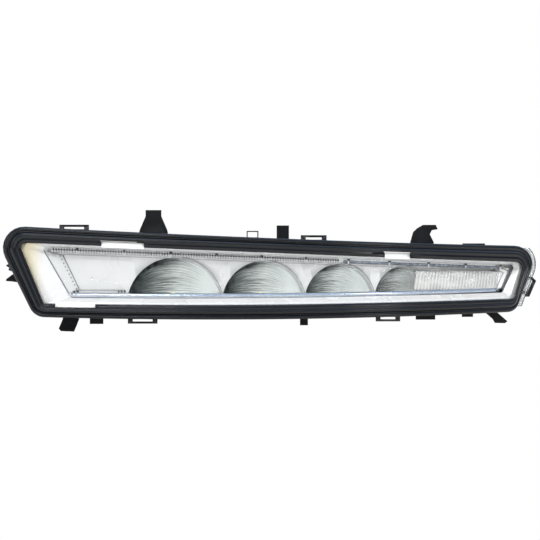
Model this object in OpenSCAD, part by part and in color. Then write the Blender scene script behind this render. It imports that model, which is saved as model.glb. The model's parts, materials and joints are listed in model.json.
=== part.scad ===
// Daytime running light for a front bumper: a swept black housing and bezel, a clear lens,
// a metallised reflector with four half-round bowls, and the LED strip and driver inside.
// X runs along the lamp, Z is up and the lens looks towards -Y. Lengths are in millimetres.
// The origin is the centre of the upper fixing hole. "Depth" is the distance behind the lens face.

/* [Sweep] */
// Radius of the lens face, seen from above
sweep_r = 520; // [480:5:600]
// Distance from the lamp's middle to its frontmost point, towards the inner end
front_x = 160; // [130:5:180]

/* [Bezel outline] */
// Inner end, measured from the middle along the centreline
bezel_left = 206; // [196:1:216]
// Outer end, measured from the middle along the centreline
bezel_right = 213.5; // [205:0.5:218]
// Top edge above the centreline, at the middle
bezel_top = 32.7; // [30:0.1:36]
// Bottom edge below the centreline, at the middle
bezel_bottom = 30.7; // [28:0.1:34]
// Lean of the inner end
left_lean = 26.6; // [20:0.1:30]
// Lean of the outer end
right_lean = 21.2; // [16:0.1:24]
// Fall of the top edge towards the outer end
top_fall = 2.2; // [1:0.1:3]
// Rise of the bottom edge towards the outer end
bottom_rise = 0.5; // [0:0.1:1.2]
// How far the top edge bows down at the middle
top_bow = 1.8; // [0:0.1:3]
// How far the bottom edge bows down at the middle
bottom_bow = 4.5; // [3:0.1:6]
// Corner radii: upper inner, upper outer, lower outer, lower inner
bezel_corners = [17.6, 15.5, 9.6, 13]; // [6:0.1:20]

/* [Window] */
// Width of the bezel at the inner end
rim_left = 15; // [12:0.1:18]
// Width of the bezel at the outer end
rim_right = 7.6; // [7.2:0.1:10]
// Width of the bezel along the top
rim_top = 13.3; // [11:0.1:15]
// Width of the bezel along the bottom
rim_bottom = 10.6; // [9:0.1:13]
// Lean of the window's inner end
window_left_lean = 22.8; // [18:0.1:26]
// Lean of the window's outer end
window_right_lean = 15.2; // [12:0.1:18]
// How far the window's top edge bows down at the middle
window_top_bow = 0.4; // [0:0.1:1.5]
// How far the window's bottom edge bows down at the middle
window_bottom_bow = 3.4; // [2:0.1:5]
// Corner radii: upper inner, upper outer, lower outer, lower inner
window_corners = [4, 5, 2.5, 3]; // [2:0.1:6]

/* [Lens and housing] */
// Thickness of the lens
lens_t = 2.6; // [2:0.1:3.2]
// Thickness of the lens skirt
skirt_t = 1.4; // [1.2:0.1:1.5]
// How far the lens reaches under the bezel's lip
lens_lap = 1.7; // [1.6:0.1:1.8]
// Depth of the lens skirt's end
skirt_d = 12.5; // [11:0.1:14]
// Thickness of the seal under the skirt
seal_t = 1.5; // [1:0.1:2]
// Wall of the housing
wall = 1.9; // [1.7:0.1:2]
// Clearance between the lens skirt and the housing's collar
skirt_gap = 0.3; // [0.2:0.05:0.4]
// Radius of the housing's back, seen from above
back_r = 560; // [530:5:600]
// Depth of the housing's back at the frontmost point
back_d = 54; // [50:1:60]

/* [Reflector] */
// Depth of the reflector's face
face_d = 16; // [15:0.5:18]
// Depth of the metallised border's inner edge
trough_d = 11; // [10:0.5:12]
// Width of the metallised border at the inner end
border_left = 20.6; // [16:0.1:24]
// Width of the metallised border at the outer end
border_right = 8.4; // [6:0.1:10]
// Width of the metallised border along the top
border_top = 2.5; // [2:0.1:3]
// Width of the metallised border along the bottom
border_bottom = 5.3; // [4:0.1:6]
// Lean of the border's inner end
trough_left_lean = 30.3; // [26:0.1:34]
// Lean of the border's outer end
trough_right_lean = 24.9; // [20:0.1:28]
// Wall of the reflector and the inner bezel
mirror_t = 1.6; // [1.4:0.1:2]
// Level of the bowls' floor below the centreline
floor_drop = 14.2; // [13:0.1:15]
// Height of the serrated lip along the shelf
lip_h = 4.2; // [3.5:0.1:5]
// Pitch of the lip's serrations
tooth_pitch = 2.2; // [2:0.1:3]
// Number of serrations
tooth_count = 110; // [90:1:116]
// Width of the first bowl
bowl_w = 78; // [74:0.5:80]
// How much narrower each next bowl is
bowl_less = 7.5; // [6:0.1:9]
// Depth of the first bowl
bowl_deep = 28; // [24:0.5:30]
// How much shallower each next bowl is
bowl_rise = 4; // [3:0.1:5]
// Arc length from the frontmost point to the first bowl
bowl_start = 45.5; // [42:0.5:50]
// Pitch of the rib ticks along the lip
tick_pitch = 38; // [34:0.5:40]
// Pitch of the outer end's upright flutes
flute_pitch = 3.2; // [2.8:0.1:4]
// Number of upright flutes
flute_count = 27; // [20:1:28]

/* [Fixings] */
// Place of the upper fixing tab along the lamp
tab_x = -93.3; // [-110:0.1:-80]
// Rise of the tab above the housing
tab_rise = 26.9; // [24:0.1:30]
// Thickness of the tabs, hook, blocks and legs
tab_t = 3; // [2.5:0.1:3]
// Radius of the upper fixing hole
tab_hole_r = 2.75; // [2.2:0.05:3.2]
// Place of the hook along the lamp
hook_x = 126.5; // [118:0.1:134]
// Place of the locating post along the lamp
post_x = 11.6; // [0:0.1:20]

/* [Electronics] */
// Width of the driver bay behind the plain plate
bay_w = 76; // [72:1:82]
// Height of the driver bay
bay_h = 30; // [28:1:34]
// Depth of the driver bay's back
bay_d = 74; // [72:1:80]
// Length of the connector socket
socket_l = 20; // [16:1:24]
// Side of each LED board
board_side = 13; // [11:0.5:14]
// Thickness of the LED boards
board_t = 1.2; // [1:0.1:1.6]
// Thickness of the aluminium carrier
carrier_t = 2; // [1.5:0.1:2.2]

/* [Hidden] */

black = [0.10, 0.11, 0.13];
chrome = [0.82, 0.84, 0.86];
clear = [0.85, 0.92, 0.95, 0.35];
round_fn = 48;
sweep_fn = 256;
corner_steps = 8;
long_steps = 20;
short_steps = 3;
reach = 320;
tall = 160;

half_l = (bezel_left + bezel_right) / 2;
window_left = bezel_left - rim_left;
window_right = bezel_right - rim_right;
window_top = bezel_top - rim_top;
window_bottom = bezel_bottom - rim_bottom;

// Trough: the inner edge of the metallised border
trough_left = window_left - border_left;
trough_right = window_right - border_right;
trough_top = window_top - border_top;
trough_bottom = window_bottom - border_bottom;

// Collar round the lens skirt, and the ledge that the seal lies on
collar_in = lens_lap + skirt_gap;
collar_out = collar_in + wall;
collar_front = 2.4;
ledge_d = skirt_d + seal_t;
tub_in = lens_lap - skirt_t - 0.2;
tub_out = tub_in + wall;

floor_z = -floor_drop;
shelf_z = trough_top - lip_h;
led_d = face_d + 10;
board_z = floor_z - mirror_t - board_t;
carrier_z = board_z - carrier_t;

bay_out = 30;
bay_x = bay_out - front_x;
bay_z = 0;
bay_floor = 2.2;
standoff = 4;
driver_y = bay_d - bay_floor - standoff;

tab_d = 12.8;
tab_z = collar_top(tab_x) + tab_rise - tab_t / 2;
tab_y = setback(tab_x, tab_d) + 9;

// How far back the surface at a depth lies, at x
function setback(x, depth = 0) = sweep_r - sqrt(pow(sweep_r - depth, 2) - pow(x + front_x, 2));

// Angle round the sweep's axis for an arc length at a depth
function arc_angle(length, depth) = length / (sweep_r - depth) * 180 / PI;

// Depth of the housing's back along the sweep's radius at an angle
function back_depth(a) = let(
    k = sweep_r - back_d - back_r,
    b = k * cos(a) - sweep_r,
    c = sweep_r * sweep_r + k * k - 2 * k * sweep_r * cos(a) - back_r * back_r)
    -b - sqrt(b * b - c);

// Share of the full bow at x
function bow(x) = 1 - pow(x / half_l, 2);

// Level of the housing collar's top and bottom at x
function collar_top(x) = window_top + collar_out - tan(top_fall) * x - bow(x) * window_top_bow;
function collar_bottom(x) = -window_bottom - collar_out + tan(bottom_rise) * x
    - bow(x) * window_bottom_bow;

// Corner where a leaning end meets a sloping edge
function corner(side, lean, level, slope) = let(
    x = (side + tan(lean) * level) / (1 - tan(lean) * tan(slope)))
    [x, level + tan(slope) * x];

function four_corners(left, lean_left, right, lean_right, top, bottom) = [
    corner(-left, -lean_left, top, -top_fall),
    corner(right, lean_right, top, -top_fall),
    corner(right, lean_right, -bottom, bottom_rise),
    corner(-left, -lean_left, -bottom, bottom_rise)];

function unit(v) = v / norm(v);
function angle_of(v) = atan2(v[1], v[0]);
function short_turn(a) = a > 180 ? a - 360 : a < -180 ? a + 360 : a;

// Arc that rounds the corner between two edges
function arc_points(before, at, after, r) = let(
    u = unit(before - at),
    w = unit(after - at),
    half = acos(u * w) / 2,
    middle = at + unit(u + w) * r / sin(half),
    from = angle_of(at + u * r / tan(half) - middle),
    turn = short_turn(angle_of(at + w * r / tan(half) - middle) - from))
    [for (k = [0:corner_steps]) let(a = from + turn * k / corner_steps) middle + r * [cos(a), sin(a)]];

function between(a, b, steps) = [for (k = [1:steps - 1]) a + (b - a) * k / steps];

// Four corners rounded, with the edges split into steps
function rounded(c, radii) = let(
    arcs = [for (i = [0:3]) arc_points(c[(i + 3) % 4], c[i], c[(i + 1) % 4], radii[i])])
    [for (i = [0:3]) each concat(arcs[i], between(arcs[i][corner_steps], arcs[(i + 1) % 4][0],
        i % 2 == 0 ? long_steps : short_steps))];

// Outline whose long edges bow down at the middle
function bowed(points, top, bottom, high, low) = [for (p = points) let(
    share = max(0, min(1, (top - p[1]) / (top + bottom))))
    [p[0], p[1] - bow(p[0]) * (high + (low - high) * share)]];

// Outlines. All have the same count of points, so that bands can be lofted between them.

// Bezel's outer edge, grown outwards by d
function bezel_line(d = 0) = bowed(rounded(four_corners(bezel_left + d, left_lean, bezel_right + d,
    right_lean, bezel_top + d, bezel_bottom + d), [for (r = bezel_corners) r + d]),
    bezel_top + d, bezel_bottom + d, top_bow, bottom_bow);

// Window edge, grown outwards by d
function window_line(d = 0) = bowed(rounded(four_corners(window_left + d, window_left_lean,
    window_right + d, window_right_lean, window_top + d, window_bottom + d),
    [for (r = window_corners) r + d]), window_top + d, window_bottom + d,
    window_top_bow, window_bottom_bow);

// Inner edge of the metallised border, drawn in by d
function trough_line(d = 0) = bowed(rounded(four_corners(trough_left - d, trough_left_lean,
    trough_right - d, trough_right_lean, trough_top - d, trough_bottom - d),
    [2.5, 2.5, 2.5, 2.5]), trough_top - d, trough_bottom - d, 0.5, 3);

// Place in the row's frame, whose origin is the upper fixing hole
module at_datum() {
    translate([-tab_x, -tab_y, -tab_z]) children();
}

// Local frame on the lens face: +Y runs back along the sweep's radius
module at_angle(a) {
    translate([-front_x, sweep_r, 0]) rotate([0, 0, a]) translate([0, -sweep_r, 0]) children();
}

// Upright cylinder of radius r whose frontmost line lies at depth
module drum(r, depth) {
    translate([-front_x, depth + r, -tall / 2]) cylinder(r = r, h = tall, $fn = sweep_fn);
}

module prism(points) {
    rotate([90, 0, 0]) translate([0, 0, -reach]) linear_extrude(reach + 40) polygon(points);
}

// Outline between two depths, following the sweep
module swept(points, front, back) {
    difference() {
        intersection() {
            prism(points);
            drum(sweep_r - front, front);
        }
        drum(sweep_r - back, back);
    }
}

// Outline from a depth to the housing's back, less a margin
module swept_to_back(points, front, margin = 0) {
    difference() {
        intersection() {
            prism(points);
            drum(sweep_r - front, front);
        }
        drum(back_r + margin, back_d - margin);
    }
}

// Level plate that follows the sweep between two angles and two depths
module arc_plate(a_from, a_to, front, back, z, t) {
    steps = 24;
    rays = [for (k = [0:steps]) a_from + (a_to - a_from) * k / steps];
    translate([-front_x, sweep_r, z]) linear_extrude(t) polygon(concat(
        [for (a = rays) (sweep_r - front) * [sin(a), -cos(a)]],
        [for (k = [steps:-1:0]) (sweep_r - back) * [sin(rays[k]), -cos(rays[k])]]));
}

// Closed band lofted round the lamp. A section point is [share of the way from line a to
// line b, depth behind the lens face].
module band(a, b, section) {
    n = len(a);
    m = len(section);
    points = [for (i = [0:n - 1]) for (s = section)
        let(p = a[i] * (1 - s[0]) + b[i] * s[0]) [p[0], setback(p[0]) + s[1], p[1]]];
    faces = [for (i = [0:n - 1]) for (j = [0:m - 1]) let(
        i2 = (i + 1) % n,
        j2 = (j + 1) % m)
        each [[i * m + j, i2 * m + j, i2 * m + j2], [i * m + j, i2 * m + j2, i * m + j2]]];
    polyhedron(points, faces);
}

// Outline moved along the lamp
function moved(points, x) = [for (p = points) [p[0] + x, p[1]]];

// Bezel

// Ridged section from the bezel's outer edge to the window
bezel_section = [[0, 12], [0, 0.8], [0.04, -0.2], [0.12, -0.8], [0.21, -0.8], [0.26, 0.2],
    [0.32, 0.2], [0.36, -1.2], [0.44, -2.6], [0.52, -3.1], [0.60, -2.8], [0.66, -2.0],
    [0.72, -2.1], [0.80, -2.4], [0.88, -2.2], [0.96, -1.7], [1, -1.0], [1, -0.3], [0.62, -0.3],
    [0.58, 2.2], [0.13, 2.2], [0.13, 12]];

// Edge loops: place, width, side (1 for the top edge, -1 for the bottom), rise, gap and leg
loops = [[-157.5, 24, 1, 3.6, 1.8, 4], [36.7, 21, 1, 3.6, 1.8, 4], [-102, 24, -1, 3.6, 1.8, 4],
    [97.2, 20, -1, 3.6, 1.8, 4], [-13, 9.6, 1, 5.2, 4.3, 0.9]];
loop_root = 1.2;
loop_d = 5;
loop_deep = 6;

function bezel_edge(x, side) = side > 0
    ? bezel_top - tan(top_fall) * x - bow(x) * top_bow
    : -bezel_bottom + tan(bottom_rise) * x - bow(x) * bottom_bow;

// Loop on the bezel's edge, through which a tongue of the bumper passes
module edge_loop(x, w, side, rise, gap, leg) {
    z = bezel_edge(x, side);
    difference() {
        swept([for (p = [[-w / 2, -loop_root], [w / 2, -loop_root], [w / 2, rise], [-w / 2, rise]])
            [x + p[0], z + side * p[1]]], loop_d, loop_d + loop_deep);
        swept([for (p = [[-1, 0], [1, 0], [1, gap], [-1, gap]])
            [x + p[0] * (w / 2 - leg), z + side * p[1]]], loop_d - 1, loop_d + loop_deep + 1);
    }
}

// Loop on the outer end, which leans with the bezel
module end_loop() {
    swept(moved([[-3.2, 0.5], [3, -1.2], [5.8, -4], [0.1, -17], [-3, -17], [-6, -14], [-4.5, -12.2],
        [-1.8, -13.6], [2.6, -4], [0.6, -2.6], [-2.8, -3.2]], bezel_right), loop_d, loop_d + loop_deep);
}

module surround_frame() {
    color(black) at_datum() {
        difference() {
            band(bezel_line(), window_line(), bezel_section);
            for (n = notches) lip_notch(n[0], n[1], n[2], n[3]);
        }
        for (l = loops) edge_loop(l[0], l[1], l[2], l[3], l[4], l[5]);
        end_loop();
    }
}

// Cut-outs in the bezel's lip: place, width, how deep and side
notches = [[-118.2, 36, 4.2, 1], [104.9, 22, 4.4, 1], [-156.6, 34, 3.4, -1]];
notch_gap = 0.3;
lens_tab_t = 1.9;
lens_tab_d = 0.2;

function window_edge(x, side) = side > 0
    ? window_top - tan(top_fall) * x - bow(x) * window_top_bow
    : -window_bottom + tan(bottom_rise) * x - bow(x) * window_bottom_bow;

// Outline of a notch, drawn in by a gap
function notch_line(x, w, deep, side, gap = 0) = let(h = w / 2 - gap)
    [for (p = [[-h, -3], [h, -3], [h, deep - gap], [-h, deep - gap]])
        [x + p[0], window_edge(x + p[0], side) + side * p[1]]];

module lip_notch(x, w, deep, side) {
    prism(notch_line(x, w, deep, side));
}

// Tab of the lens that fills a notch
module lens_tab(x, w, deep, side) {
    swept(notch_line(x, w, deep, side, notch_gap), lens_tab_d, lens_tab_d + lens_tab_t);
}

// Lens and its seal

module outer_lens() {
    color(clear) at_datum() difference() {
        union() {
            swept(window_line(lens_lap), 0, skirt_d);
            for (n = notches) lens_tab(n[0], n[1], n[2], n[3]);
        }
        swept(window_line(lens_lap - skirt_t), lens_t, skirt_d + 1);
    }
}

module lens_seal() {
    color([0.25, 0.25, 0.27]) at_datum() difference() {
        swept(window_line(collar_in), skirt_d, ledge_d);
        swept(window_line(tub_in), skirt_d - 1, ledge_d + 1);
    }
}

// Clear flange round the bezel's outer end
flange_w = 3.2;
flange_d = 1.6;
flange_t = 2;
flange_top = 23;
flange_low = -25;

module end_flange() {
    color(clear) at_datum() intersection() {
        difference() {
            swept(bezel_line(flange_w), flange_d, flange_d + flange_t);
            swept(bezel_line(0.15), flange_d - 1, flange_d + flange_t + 1);
        }
        translate([bezel_right - 30, 0, flange_low]) cube([60, 300, flange_top - flange_low]);
    }
}

// Metallised border between the lens edge and the trough
module inner_bezel() {
    section = [[0, 5], [0.1, 4.5], [0.35, 5.2], [1, trough_d], [1, trough_d + mirror_t],
        [0.35, 5.2 + mirror_t], [0, 5 + mirror_t]];
    color(chrome) at_datum() band(window_line(tub_in), trough_line(), section);
}

// Reflector

bowl_count = 4;
bowl_gap = 0.8;
bowl_head = 0.5;
bowl_sink = 0.3;
wall_d = trough_d + mirror_t + 0.2;
lip_d = 11.4;
lip_back = 13.6;
lip_top = trough_top - 0.2;
tooth_deep = 1.2;
lip_start = -17;
lip_end = 388;
tick_start = 4.2;
tick_r = 0.9;
floor_from = -3;
floor_to = 43.5;
post_r = 3.2;
post_out = 49.5;

function bowl_width(i) = bowl_w - bowl_less * i;
function bowl_left(i) = i == 0 ? bowl_start : bowl_left(i - 1) + bowl_width(i - 1);
function bowl_angle(i) = arc_angle(bowl_left(i) + bowl_width(i) / 2, face_d);
function bowl_x(i) = (sweep_r - face_d) * sin(bowl_angle(i)) - front_x;
function bowl_h(i) = shelf_z - tan(top_fall) * bowl_x(i) - floor_z - bowl_head;
function bowl_half(i) = bowl_width(i) / 2 - bowl_gap;
function bowl_r(i) = (pow(bowl_half(i), 2) + pow(bowl_h(i), 2)) / (2 * bowl_h(i));
function bowl_depth(i) = bowl_deep - bowl_rise * i;

// Places along the arc where posts and screws stand
post_spots = [[arc_angle(bowl_left(1), face_d), 8], [arc_angle(bowl_left(3), face_d), 5],
    [arc_angle(bowl_left(bowl_count) + post_out, face_d), -3]];
screw_angles = [for (i = [0:bowl_count]) arc_angle(bowl_left(i), face_d)];

// Dished solid of bowl i, turned about its optical axis
module bowl_solid(i, grow, low) {
    r = bowl_r(i) + grow;
    deep = bowl_depth(i) + grow;
    steps = 10;
    rim = face_d + mirror_t + 2;
    mouth = trough_d;
    dish = [for (k = [0:steps]) let(q = 90 * k / steps) [r * cos(q), rim + deep * sin(q)]];
    at_angle(bowl_angle(i)) intersection() {
        translate([0, 0, floor_z + bowl_h(i) - bowl_r(i)]) rotate([-90, 0, 0])
            rotate_extrude($fn = 96) polygon(concat([[0, mouth], [r, mouth]], dish));
        translate([-r - 5, 0, low]) cube([2 * r + 10, 100, 60]);
    }
}

// Lip along the shelf, whose front is serrated for tooth_count teeth
module serrated_lip() {
    r = sweep_r - lip_d;
    pitch = arc_angle(tooth_pitch, lip_d);
    from = arc_angle(lip_start, lip_d);
    to = arc_angle(lip_end, lip_d);
    smooth_from = from + pitch * tooth_count;
    smooth_steps = 12;
    teeth = [for (k = [0:tooth_count - 1]) each [[from + pitch * k, 0],
        [from + pitch * (k + 0.3), tooth_deep], [from + pitch * (k + 0.7), tooth_deep]]];
    plain = [for (k = [0:smooth_steps]) [smooth_from + (to - smooth_from) * k / smooth_steps, 0]];
    back = [for (k = [24:-1:0]) [from + (to - from) * k / 24, lip_d - lip_back]];
    rotate([0, top_fall, 0]) translate([-front_x, sweep_r, shelf_z]) linear_extrude(lip_top - shelf_z)
        polygon([for (p = concat(teeth, plain, back)) (r + p[1]) * [sin(p[0]), -cos(p[0])]]);
}

// Small half-round ribs that stand on the lip
module ticks() {
    rotate([0, top_fall, 0]) for (s = [tick_start:tick_pitch:lip_end])
        at_angle(arc_angle(s, lip_d)) translate([0, lip_d - 0.4, shelf_z - 0.4])
            cylinder(r = tick_r, h = lip_top - shelf_z + 0.4, $fn = 24);
}

module reflector() {
    color(chrome) at_datum() difference() {
        union() {
            difference() {
                swept(trough_line(), wall_d, face_d + mirror_t);
                swept(trough_line(mirror_t), wall_d - 1, face_d);
                intersection() {
                    swept(trough_line(-1), wall_d - 1, face_d);
                    translate([-reach, -reach, floor_z - 41]) cube([2 * reach, 2 * reach, 40]);
                }
            }
            intersection() {
                union() {
                    serrated_lip();
                    ticks();
                    arc_plate(floor_from, floor_to, lip_d + 0.4, led_d + 3, floor_z - mirror_t,
                        mirror_t);
                    arc_plate(floor_from, floor_to, lip_d, lip_back, floor_z - 4, 3.5);
                }
                prism(trough_line(0.1));
            }
            intersection() {
                for (i = [0:bowl_count - 1]) bowl_solid(i, mirror_t, floor_z - mirror_t + 0.2);
                drum(sweep_r - face_d - 0.4, face_d + 0.4);
            }
            for (a = screw_angles) at_angle(a) translate([0, led_d, board_z])
                cylinder(r = 2.6, h = board_t + 0.8, $fn = round_fn);
            for (p = post_spots) at_angle(p[0]) translate([0, face_d + 0.5, p[1]])
                rotate([-90, 0, 0])
                cylinder(r = post_r, h = back_depth(p[0]) - tub_floor - pad_h - face_d - 0.5,
                    $fn = round_fn);
        }
        for (i = [0:bowl_count - 1]) {
            bowl_solid(i, 0, floor_z - bowl_sink);
            at_angle(bowl_angle(i)) translate([-led_hole / 2, led_d - led_hole / 2, floor_z - 5])
                cube([led_hole, led_hole, 10]);
        }
        for (a = screw_angles) at_angle(a) translate([0, led_d, board_z - 1])
            cylinder(r = screw_r, h = board_t + mirror_t + 0.4, $fn = round_fn);
        for (p = post_spots) at_angle(p[0]) translate([0, back_depth(p[0]) - post_screw_in - 1, p[1]])
            rotate([-90, 0, 0]) cylinder(r = post_screw_r, h = post_screw_in + 1, $fn = round_fn);
    }
}

// Clear insert whose front has upright flutes that lean with the lamp
module flute_optic() {
    low = -12;
    high = 4;
    back = face_d - 0.1;
    front = 13.4;
    flute_deep = 1;
    lean = 3;
    start = 292;
    columns = [for (k = [0:2 * flute_count]) [start + k * flute_pitch / 2, k % 2 * flute_deep]];
    points = [for (c = columns) each [
        on_arc(c[0], front + c[1], low), on_arc(c[0] + lean, front + c[1], high),
        on_arc(c[0] + lean, back, high), on_arc(c[0], back, low)]];
    last = 4 * (len(columns) - 1);
    sides = [for (k = [0:len(columns) - 2]) for (j = [0:3]) let(
        p = 4 * k + j,
        q = 4 * k + (j + 1) % 4)
        each [[p, q, q + 4], [p, q + 4, p + 4]]];
    ends = [[0, 3, 2], [0, 2, 1], [last, last + 1, last + 2], [last, last + 2, last + 3]];
    color(clear) at_datum() polyhedron(points, concat(sides, ends));
}

function on_arc(s, depth, z) = let(a = arc_angle(s, face_d))
    [(sweep_r - depth) * sin(a) - front_x, sweep_r - (sweep_r - depth) * cos(a), z];

// Housing

tub_floor = 2.4;
pad_h = 3;
pad_r = 5;
pad_proud = 1.5;
rib_t = 1.6;
rib_angles = [for (k = [-3:11]) 4 * k];
back_rib_h = 2;
back_rib_angles = [11, 17, 20.5, 24, 32, 35, 38, 44];
back_rib_levels = [-9, 13.5];
latch_w = 5;
latch_h = 1.8;
vent_a = 27;
vent_z = 2;
vent_r = 4;
vent_h = 5;
vent_bore = 2.2;
socket_x = bay_x + 18;
socket_w = 17;
socket_h = 11.4;
socket_wall = 1.6;
bay_front = 52;

// Tab that follows the sweep, with its root in the housing's collar
module edge_tab(x, side, points) {
    z = side > 0 ? collar_top(x) : collar_bottom(x);
    swept([for (p = points) [x + p[0], z + side * p[1]]], tab_d, tab_d + tab_t);
}

module upper_tab() {
    half = 6.4;
    tongue = 16;
    rise = tab_rise;
    edge_tab(tab_x, 1, [[-14, -1], [-11.1, rise - 16], [-half, rise - 5], [-half, rise],
        [half, rise], [half, rise - 5], [11.1, rise - 16], [14, -1]]);
    translate([tab_x - half + 0.2, setback(tab_x, tab_d) + 1.2, collar_top(tab_x) + rise - tab_t])
        cube([2 * half - 0.4, tongue - 1, tab_t]);
    for (side = [-1, 1]) translate([tab_x + side * (half - rib_t) - rib_t / 2, tab_y, tab_z])
        rotate([90, 0, 90]) linear_extrude(rib_t)
        polygon([[-7, 0], [6, 0], [-7, -12]]);
}

module hook() {
    rise = 23.5;
    edge_tab(hook_x, 1, [[-11, -1], [-11, rise - 14], [-8.7, rise - 6], [-5.4, rise - 2.8],
        [-0.6, rise], [10, rise], [11.6, rise - 3.6], [6.7, rise - 4.4], [5.1, rise - 7.7],
        [6.7, rise - 11], [8.3, rise - 14], [8.3, -1]]);
}

// Block that stands out from the housing's edge: place, width, rise and side
blocks = [[post_x, 10, 18.6, 1], [28.8, 6.5, 13, -1], [-139.4, 11, 11.8, -1],
    [128, 16, 10.6, -1], [162.5, 9.3, 9.5, -1], [167.7, 18.6, 9.9, 1]];

module edge_blocks() {
    for (b = blocks) edge_tab(b[0], b[3],
        [[-b[1] / 2, -1], [-b[1] / 2, b[2]], [b[1] / 2, b[2]], [b[1] / 2, -1]]);
}

module legs() {
    edge_tab(-161.6, -1, [[-4, -1], [8.5, -1], [8.1, 8.2], [6.3, 12.9], [4, 18.3],
        [-6.7, 17.9], [-8.5, 15.8], [-5.3, 8.2]]);
    edge_tab(184.3, -1, [[-11, -1], [0, -1], [3.2, 6.9], [11.3, 13.9], [9.2, 15.5],
        [0.8, 15.3], [-1, 12.1], [-7, 6.9]]);
}

// Locating teeth on the inner end
module teeth() {
    swept(moved([[14, -5.2], [3, -5.2], [-1.8, -4.5], [-7, -4.1], [-6.6, -2.4], [-1.8, 1.2],
        [1, 2], [-1.4, 3.4], [-5, 4.9], [-4.2, 6.5], [-7, 8.5], [-2.6, 11.3], [14, 11.3]],
        -bezel_left), tab_d, tab_d + tab_t);
}

module at_back(a, z) {
    at_angle(a) translate([0, back_depth(a), z]) rotate([-90, 0, 0]) children();
}

// Lattice of ribs that stiffens the housing's back
module back_ribs() {
    intersection() {
        prism(window_line(tub_out - 0.4));
        difference() {
            drum(back_r + 1, back_d - 1);
            drum(back_r - back_rib_h, back_d + back_rib_h);
        }
        union() {
            for (a = back_rib_angles) at_angle(a) translate([-rib_t / 2, 0, -tall / 2])
                cube([rib_t, 100, tall]);
            for (z = back_rib_levels) translate([-reach, -reach, z - rib_t / 2])
                cube([2 * reach, 2 * reach, rib_t]);
        }
    }
}

// Ramp on the socket that the plug's latch snaps over
module socket_latch() {
    translate([socket_x - latch_w / 2, bay_d + 4, bay_z + socket_h / 2]) rotate([90, 0, 90])
        linear_extrude(latch_w) polygon([[0, -0.5], [0, latch_h], [2, latch_h], [9, -0.5]]);
}

module housing_body() {
    swept(window_line(collar_out), collar_front, ledge_d + wall);
    swept_to_back(window_line(tub_out), ledge_d + 0.8);
    intersection() {
        swept(window_line(collar_out - 0.3), ledge_d + 0.4, ledge_d + 14);
        for (a = rib_angles) at_angle(a) translate([-rib_t / 2, 0, -tall / 2])
            cube([rib_t, 100, tall]);
    }
    translate([bay_x - bay_w / 2, bay_front, bay_z - bay_h / 2])
        cube([bay_w, bay_d - bay_front, bay_h]);
    translate([socket_x - socket_w / 2, bay_d - 1, bay_z - socket_h / 2])
        cube([socket_w, socket_l + 1, socket_h]);
    back_ribs();
    socket_latch();
    upper_tab();
    hook();
    edge_blocks();
    legs();
    teeth();
    at_back(vent_a, vent_z) translate([0, 0, -1]) cylinder(r = vent_r, h = vent_h + 1, $fn = round_fn);
}

module housing_hollows() {
    swept(window_line(collar_in), collar_front - 2, ledge_d);
    swept_to_back(window_line(tub_in), ledge_d - 1, tub_floor);
    translate([bay_x - bay_w / 2 + bay_floor, bay_front - 10, bay_z - bay_h / 2 + bay_floor])
        cube([bay_w - 2 * bay_floor, bay_d - bay_front - bay_floor + 10, bay_h - 2 * bay_floor]);
    translate([socket_x - socket_w / 2 + socket_wall, bay_d, bay_z - socket_h / 2 + socket_wall])
        cube([socket_w - 2 * socket_wall, socket_l + 1, socket_h - 2 * socket_wall]);
}

module rear_housing() {
    color(black) at_datum() difference() {
        union() {
            difference() {
                housing_body();
                housing_hollows();
            }
            for (p = post_spots) at_back(p[0], p[1]) translate([0, 0, -tub_floor - pad_h])
                cylinder(r = pad_r, h = tub_floor + pad_h + pad_proud, $fn = round_fn);
            for (s = standoff_spots) translate([s[0], bay_d - bay_floor + 0.1, s[1]])
                rotate([90, 0, 0]) cylinder(r = 3, h = standoff + 0.1, $fn = round_fn);
        }
        translate([tab_x, tab_y, tab_z - tab_t]) cylinder(r = tab_hole_r, h = 2 * tab_t, $fn = round_fn);
        for (p = post_spots) at_back(p[0], p[1]) translate([0, 0, -20])
            cylinder(r = post_screw_r, h = 40, $fn = round_fn);
        at_back(vent_a, vent_z) translate([0, 0, -10]) cylinder(r = vent_bore, h = 30, $fn = round_fn);
        for (s = standoff_spots) translate([s[0], bay_d - bay_floor, s[1]])
            rotate([90, 0, 0]) cylinder(r = screw_r, h = standoff + 1, $fn = round_fn);
        pins();
    }
}

// Electronics

led_hole = 6;
led_side = 5;
led_t = 1.3;
screw_r = 1;
head_r = 2;
head_h = 1.2;
post_screw_r = 1.5;
post_head_r = 3;
post_head_h = 2;
post_screw_in = 12;
driver_gap = 1.8;
driver_w = bay_w - 2 * bay_floor - 2 * driver_gap;
driver_h = bay_h - 2 * bay_floor - 2 * 0.8;
driver_t = 1.6;
standoff_spots = [for (i = [-1, 1]) for (j = [-1, 1])
    [bay_x + i * (driver_w / 2 - 4), bay_z + j * (driver_h / 2 - 4)]];
pin_pitch = 3.6;
pin_end = bay_d + socket_l - 6;

module led_carrier() {
    color([0.75, 0.76, 0.78]) at_datum() difference() {
        arc_plate(screw_angles[0] - 2, screw_angles[bowl_count] + 0.8, led_d - 8, led_d + 9,
            carrier_z, carrier_t);
        for (a = screw_angles) at_angle(a) translate([0, led_d, carrier_z - 1])
            cylinder(r = screw_r, h = carrier_t + 2, $fn = round_fn);
    }
}

module led_board(i) {
    color([0.9, 0.91, 0.88]) at_datum() at_angle(bowl_angle(i))
        translate([-board_side / 2, led_d - board_side / 2, board_z])
        cube([board_side, board_side, board_t]);
}

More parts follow.
